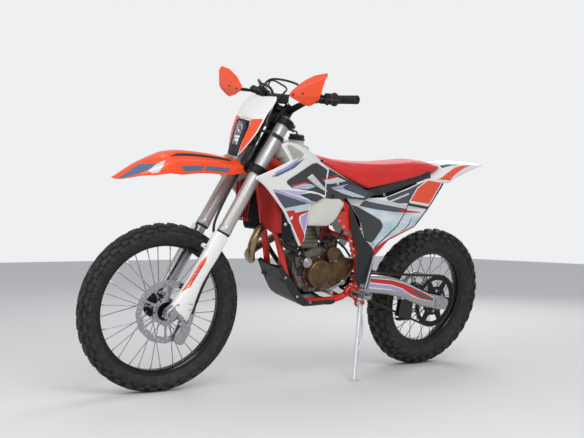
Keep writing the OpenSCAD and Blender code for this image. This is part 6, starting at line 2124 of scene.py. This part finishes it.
def build_side_stand():
    """A tapered leg from the pivot to a round foot on the ground, with a second thinner strand."""
    pivot, axis = upright("side_stand_fold"), stand_axis()
    lean = math.radians(LEAN)
    reach, height = 282.0, 8.0 - GROUND_LIFT
    foot = np.array([-110.0, reach * math.cos(lean) - height * math.sin(lean),
                     reach * math.sin(lean) + height * math.cos(lean)])
    down, back = unit(foot - pivot), unit(np.array([-1, 0, 0.1]))
    eye = lathe([(6.2, -11), (14, -11), (15, -10), (15, 10), (14, 11), (6.2, 11)], 40, closed=True)
    turn = np.array(Vector(axis).to_track_quat("Z", "Y").to_matrix().to_4x4())
    eye = eye.moved(translation(pivot) @ turn)
    leg_path = [pivot + down * t for t in (10, 60, 180, 300)] + [foot]
    main = tube(leg_path, [11, 10, 9, 9, 9], 24, (0, 1, 0.1))
    bow = [pivot + 34 * down, pivot + 60 * down + 12 * back, pivot + 100 * down + 21 * back,
           pivot + 170 * down + 22 * back, pivot + 240 * down + 6 * back, pivot + 262 * down]
    strand = bent(bow, 5.2, 14)
    to_upright = about_x(LEAN)
    pad = lathe([(0, -7.9), (19, -7.9), (20, -6.5), (20, -2.5), (17, 0), (9, 3), (0, 3)], 40).moved(
        translation(foot) @ to_upright)
    piece("side_stand_leg", [eye, main, strand, pad], STAND, "stand", ("side_stand",), 40)


# ---------------------------------------------------------------- settings, operators and panel

class EnduroColours(bpy.types.PropertyGroup):
    """The paints and plastics that an owner would change."""
    orange: bpy.props.FloatVectorProperty(name="Orange plastic", description="Mudguard and handguards", size=3,
                                          subtype="COLOR", min=0, max=1, default=colour(246, 76, 16)[:3])
    white: bpy.props.FloatVectorProperty(name="White plastic", description="Shrouds, side panels, mask and tail",
                                         size=3, subtype="COLOR", min=0, max=1, default=colour(234, 233, 230)[:3])
    frame: bpy.props.FloatVectorProperty(name="Frame paint", description="Spars and cradle", size=3,
                                         subtype="COLOR", min=0, max=1, default=colour(216, 40, 8)[:3])
    seat: bpy.props.FloatVectorProperty(name="Seat cover", description="Gripper vinyl on the saddle", size=3,
                                        subtype="COLOR", min=0, max=1, default=colour(214, 26, 20)[:3])
    slate: bpy.props.FloatVectorProperty(name="Slate film", description="The dark blue-grey stickers", size=3,
                                         subtype="COLOR", min=0, max=1, default=colour(68, 74, 88)[:3])


class EnduroSeat(bpy.types.PropertyGroup):
    """How the saddle is stuffed and sewn."""
    pressure: bpy.props.FloatProperty(name="Stuffing", description="Cloth pressure inside the cover", default=4.0,
                                      min=0)
    swell: bpy.props.FloatProperty(name="Swell", description="The furthest that the cover may move", default=0.008,
                                   min=0, unit="LENGTH")
    voxel: bpy.props.FloatProperty(name="Mesh size", description="Edge length of the even mesh under the cover",
                                   default=0.006, min=0.003, unit="LENGTH")
    seam_depth: bpy.props.FloatProperty(name="Seam depth", description="How far the shoulder seams are pressed in",
                                        default=0.0016, min=0, unit="LENGTH")


class EnduroStage(bpy.types.PropertyGroup):
    """Lamps and floor."""
    key_power: bpy.props.FloatProperty(name="Key lamp", description="Lamp over the left side", default=84.0, min=0,
                                       unit="POWER")
    front_power: bpy.props.FloatProperty(name="Front lamp", description="Lamp ahead of the bike", default=34.0, min=0,
                                         unit="POWER")
    rim_power: bpy.props.FloatProperty(name="Rim lamp", description="Lamp behind the right side", default=56.0, min=0,
                                       unit="POWER")
    sky_strength: bpy.props.FloatProperty(name="Sky", description="Strength of the pale surroundings", default=0.6,
                                          min=0)
    floor_reach: bpy.props.FloatProperty(name="Floor reach", description="Half the floor's side", default=12.0, min=2,
                                         unit="LENGTH")


class Steps:
    """What every operator does: its steps, in order."""
    steps = ()

    def execute(self, context):
        for step in self.steps:
            step()
        return {"FINISHED"}


class ENDURO_OT_finishes(Steps, bpy.types.Operator):
    """Mixes every paint, metal, rubber and film, and gives the CAD nodes theirs"""
    bl_idname = "enduro.finishes"
    bl_label = "Finishes"
    steps = (mix_finishes, finish_cad_nodes)


class ENDURO_OT_stage(Steps, bpy.types.Operator):
    """Places the camera, the floor, the lamps and the sky"""
    bl_idname = "enduro.stage"
    bl_label = "Stage and camera"
    steps = (make_camera, make_stage)


class ENDURO_OT_hoses(Steps, bpy.types.Operator):
    """Runs the brake, clutch and throttle hoses"""
    bl_idname = "enduro.hoses"
    bl_label = "Hoses"
    steps = (build_hoses,)


class ENDURO_OT_wheels(Steps, bpy.types.Operator):
    """Makes both knobbly tyres, rims, spokes and hubs"""
    bl_idname = "enduro.wheels"
    bl_label = "Tyres and wheels"
    steps = (build_wheels,)


class ENDURO_OT_brakes(Steps, bpy.types.Operator):
    """Makes both brake discs and the front caliper"""
    bl_idname = "enduro.brakes"
    bl_label = "Discs and caliper"
    steps = (build_discs, build_front_caliper)


class ENDURO_OT_drive(Steps, bpy.types.Operator):
    """Makes the rear sprocket and the chain, link by link"""
    bl_idname = "enduro.drive"
    bl_label = "Chain and sprocket"
    steps = (build_sprocket, build_chain)


class ENDURO_OT_fork(Steps, bpy.types.Operator):
    """Makes the fork legs and their wrapped guards"""
    bl_idname = "enduro.fork"
    bl_label = "Fork legs and guards"
    steps = (build_fork_legs, build_fork_guards)


class ENDURO_OT_steering_head(Steps, bpy.types.Operator):
    """Makes the clamps, stem, risers and their screws"""
    bl_idname = "enduro.steering_head"
    bl_label = "Clamps"
    steps = (build_clamps,)


class ENDURO_OT_controls(Steps, bpy.types.Operator):
    """Makes the bar, grips, perches, levers and switches"""
    bl_idname = "enduro.controls"
    bl_label = "Handlebar and levers"
    steps = (build_handlebar, build_levers)


class ENDURO_OT_handguards(Steps, bpy.types.Operator):
    """Makes both creased handguards with their arms"""
    bl_idname = "enduro.handguards"
    bl_label = "Handguards"
    steps = (build_handguards,)


class ENDURO_OT_front_mudguard(Steps, bpy.types.Operator):
    """Makes the long spined front mudguard and its films"""
    bl_idname = "enduro.front_mudguard"
    bl_label = "Front mudguard"
    steps = (build_front_fender,)


class ENDURO_OT_headlight(Steps, bpy.types.Operator):
    """Makes the mask, its films, the lamp and the gauge"""
    bl_idname = "enduro.headlight"
    bl_label = "Headlight and mask"
    steps = (build_mask,)


class ENDURO_OT_frame_tubes(Steps, bpy.types.Operator):
    """Sweeps the frame tubes and adds brackets and bolts"""
    bl_idname = "enduro.frame_tubes"
    bl_label = "Frame"
    steps = (build_frame,)


class ENDURO_OT_engine(Steps, bpy.types.Operator):
    """Makes the castings, covers, starter, hoses and wires"""
    bl_idname = "enduro.engine"
    bl_label = "Engine"
    steps = (build_engine,)


class ENDURO_OT_exhaust(Steps, bpy.types.Operator):
    """Makes the header pipe and the muffler"""
    bl_idname = "enduro.exhaust"
    bl_label = "Exhaust"
    steps = (build_exhaust,)


class ENDURO_OT_cooling(Steps, bpy.types.Operator):
    """Makes the radiators and their louvres"""
    bl_idname = "enduro.cooling"
    bl_label = "Radiators"
    steps = (build_cooling,)


class ENDURO_OT_shrouds(Steps, bpy.types.Operator):
    """Makes the shrouds, their dark arms, blades and films"""
    bl_idname = "enduro.shrouds"
    bl_label = "Shrouds"
    steps = (build_shrouds,)


class ENDURO_OT_tank(Steps, bpy.types.Operator):
    """Makes the tank, its ribbed cap and the vent elbow"""
    bl_idname = "enduro.tank"
    bl_label = "Fuel tank"
    steps = (build_tank,)


class ENDURO_OT_seat(Steps, bpy.types.Operator):
    """Stuffs and sews the saddle"""
    bl_idname = "enduro.seat"
    bl_label = "Seat"
    steps = (build_seat,)


class ENDURO_OT_side_panels(Steps, bpy.types.Operator):
    """Makes the side panels, their films and the strips under the seat"""
    bl_idname = "enduro.side_panels"
    bl_label = "Side panels"
    steps = (build_side_panels,)


class ENDURO_OT_tail(Steps, bpy.types.Operator):
    """Makes the rear mudguard, airbox and frame guards"""
    bl_idname = "enduro.tail"
    bl_label = "Rear mudguard and airbox"
    steps = (build_tail,)


class ENDURO_OT_skid_plate(Steps, bpy.types.Operator):
    """Bends the skid plate and bolts it on"""
    bl_idname = "enduro.skid_plate"
    bl_label = "Skid plate"
    steps = (build_skid_plate,)


class ENDURO_OT_foot_controls(Steps, bpy.types.Operator):
    """Makes the pegs, the shift lever and the brake pedal"""
    bl_idname = "enduro.foot_controls"
    bl_label = "Pegs and pedals"
    steps = (build_foot_controls,)


class ENDURO_OT_rear_end(Steps, bpy.types.Operator):
    """Makes the swingarm, axle, shock, chain guide, rear caliper and stand spring"""
    bl_idname = "enduro.rear_end"
    bl_label = "Rear suspension"
    steps = (build_rear_suspension,)


class ENDURO_OT_side_stand(Steps, bpy.types.Operator):
    """Makes the leaning side stand"""
    bl_idname = "enduro.side_stand"
    bl_label = "Side stand"
    steps = (build_side_stand,)


OPERATORS = (
    ENDURO_OT_finishes, ENDURO_OT_stage, ENDURO_OT_hoses, ENDURO_OT_wheels, ENDURO_OT_brakes, ENDURO_OT_drive,
    ENDURO_OT_fork, ENDURO_OT_steering_head, ENDURO_OT_controls, ENDURO_OT_handguards, ENDURO_OT_front_mudguard,
    ENDURO_OT_headlight, ENDURO_OT_frame_tubes, ENDURO_OT_engine, ENDURO_OT_exhaust, ENDURO_OT_cooling,
    ENDURO_OT_shrouds, ENDURO_OT_tank, ENDURO_OT_seat, ENDURO_OT_side_panels, ENDURO_OT_tail, ENDURO_OT_skid_plate,
    ENDURO_OT_foot_controls, ENDURO_OT_rear_end, ENDURO_OT_side_stand)
SETTINGS = (("enduro_colours", EnduroColours), ("enduro_seat", EnduroSeat), ("enduro_stage", EnduroStage))


class ENDURO_PT_pieces(bpy.types.Panel):
    """Lists the settings and the operators in the sidebar"""
    bl_idname = "ENDURO_PT_pieces"
    bl_label = "Enduro motorcycle"
    bl_space_type = "VIEW_3D"
    bl_region_type = "UI"
    bl_category = "Enduro"

    def draw(self, context):
        for name, group in SETTINGS:
            section = self.layout.box()
            for key in group.__annotations__:
                section.prop(getattr(context.scene, name), key)
        for operator in OPERATORS:
            self.layout.operator(operator.bl_idname)


def register():
    """Adds the settings, operators and panel."""
    for name, group in SETTINGS:
        bpy.utils.register_class(group)
        setattr(bpy.types.Scene, name, bpy.props.PointerProperty(type=group))
    for entry in (*OPERATORS, ENDURO_PT_pieces):
        bpy.utils.register_class(entry)


def unregister():
    """Takes them away again."""
    for entry in (ENDURO_PT_pieces, *reversed(OPERATORS)):
        bpy.utils.unregister_class(entry)
    for name, group in reversed(SETTINGS):
        delattr(bpy.types.Scene, name)
        bpy.utils.unregister_class(group)


def main():
    """Registers the settings, operators and panel, and builds the stage and every piece."""
    register()
    for operator in OPERATORS:
        group, action = operator.bl_idname.split(".")
        getattr(getattr(bpy.ops, group), action)()
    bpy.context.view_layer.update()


if __name__ == "__main__":
    main()
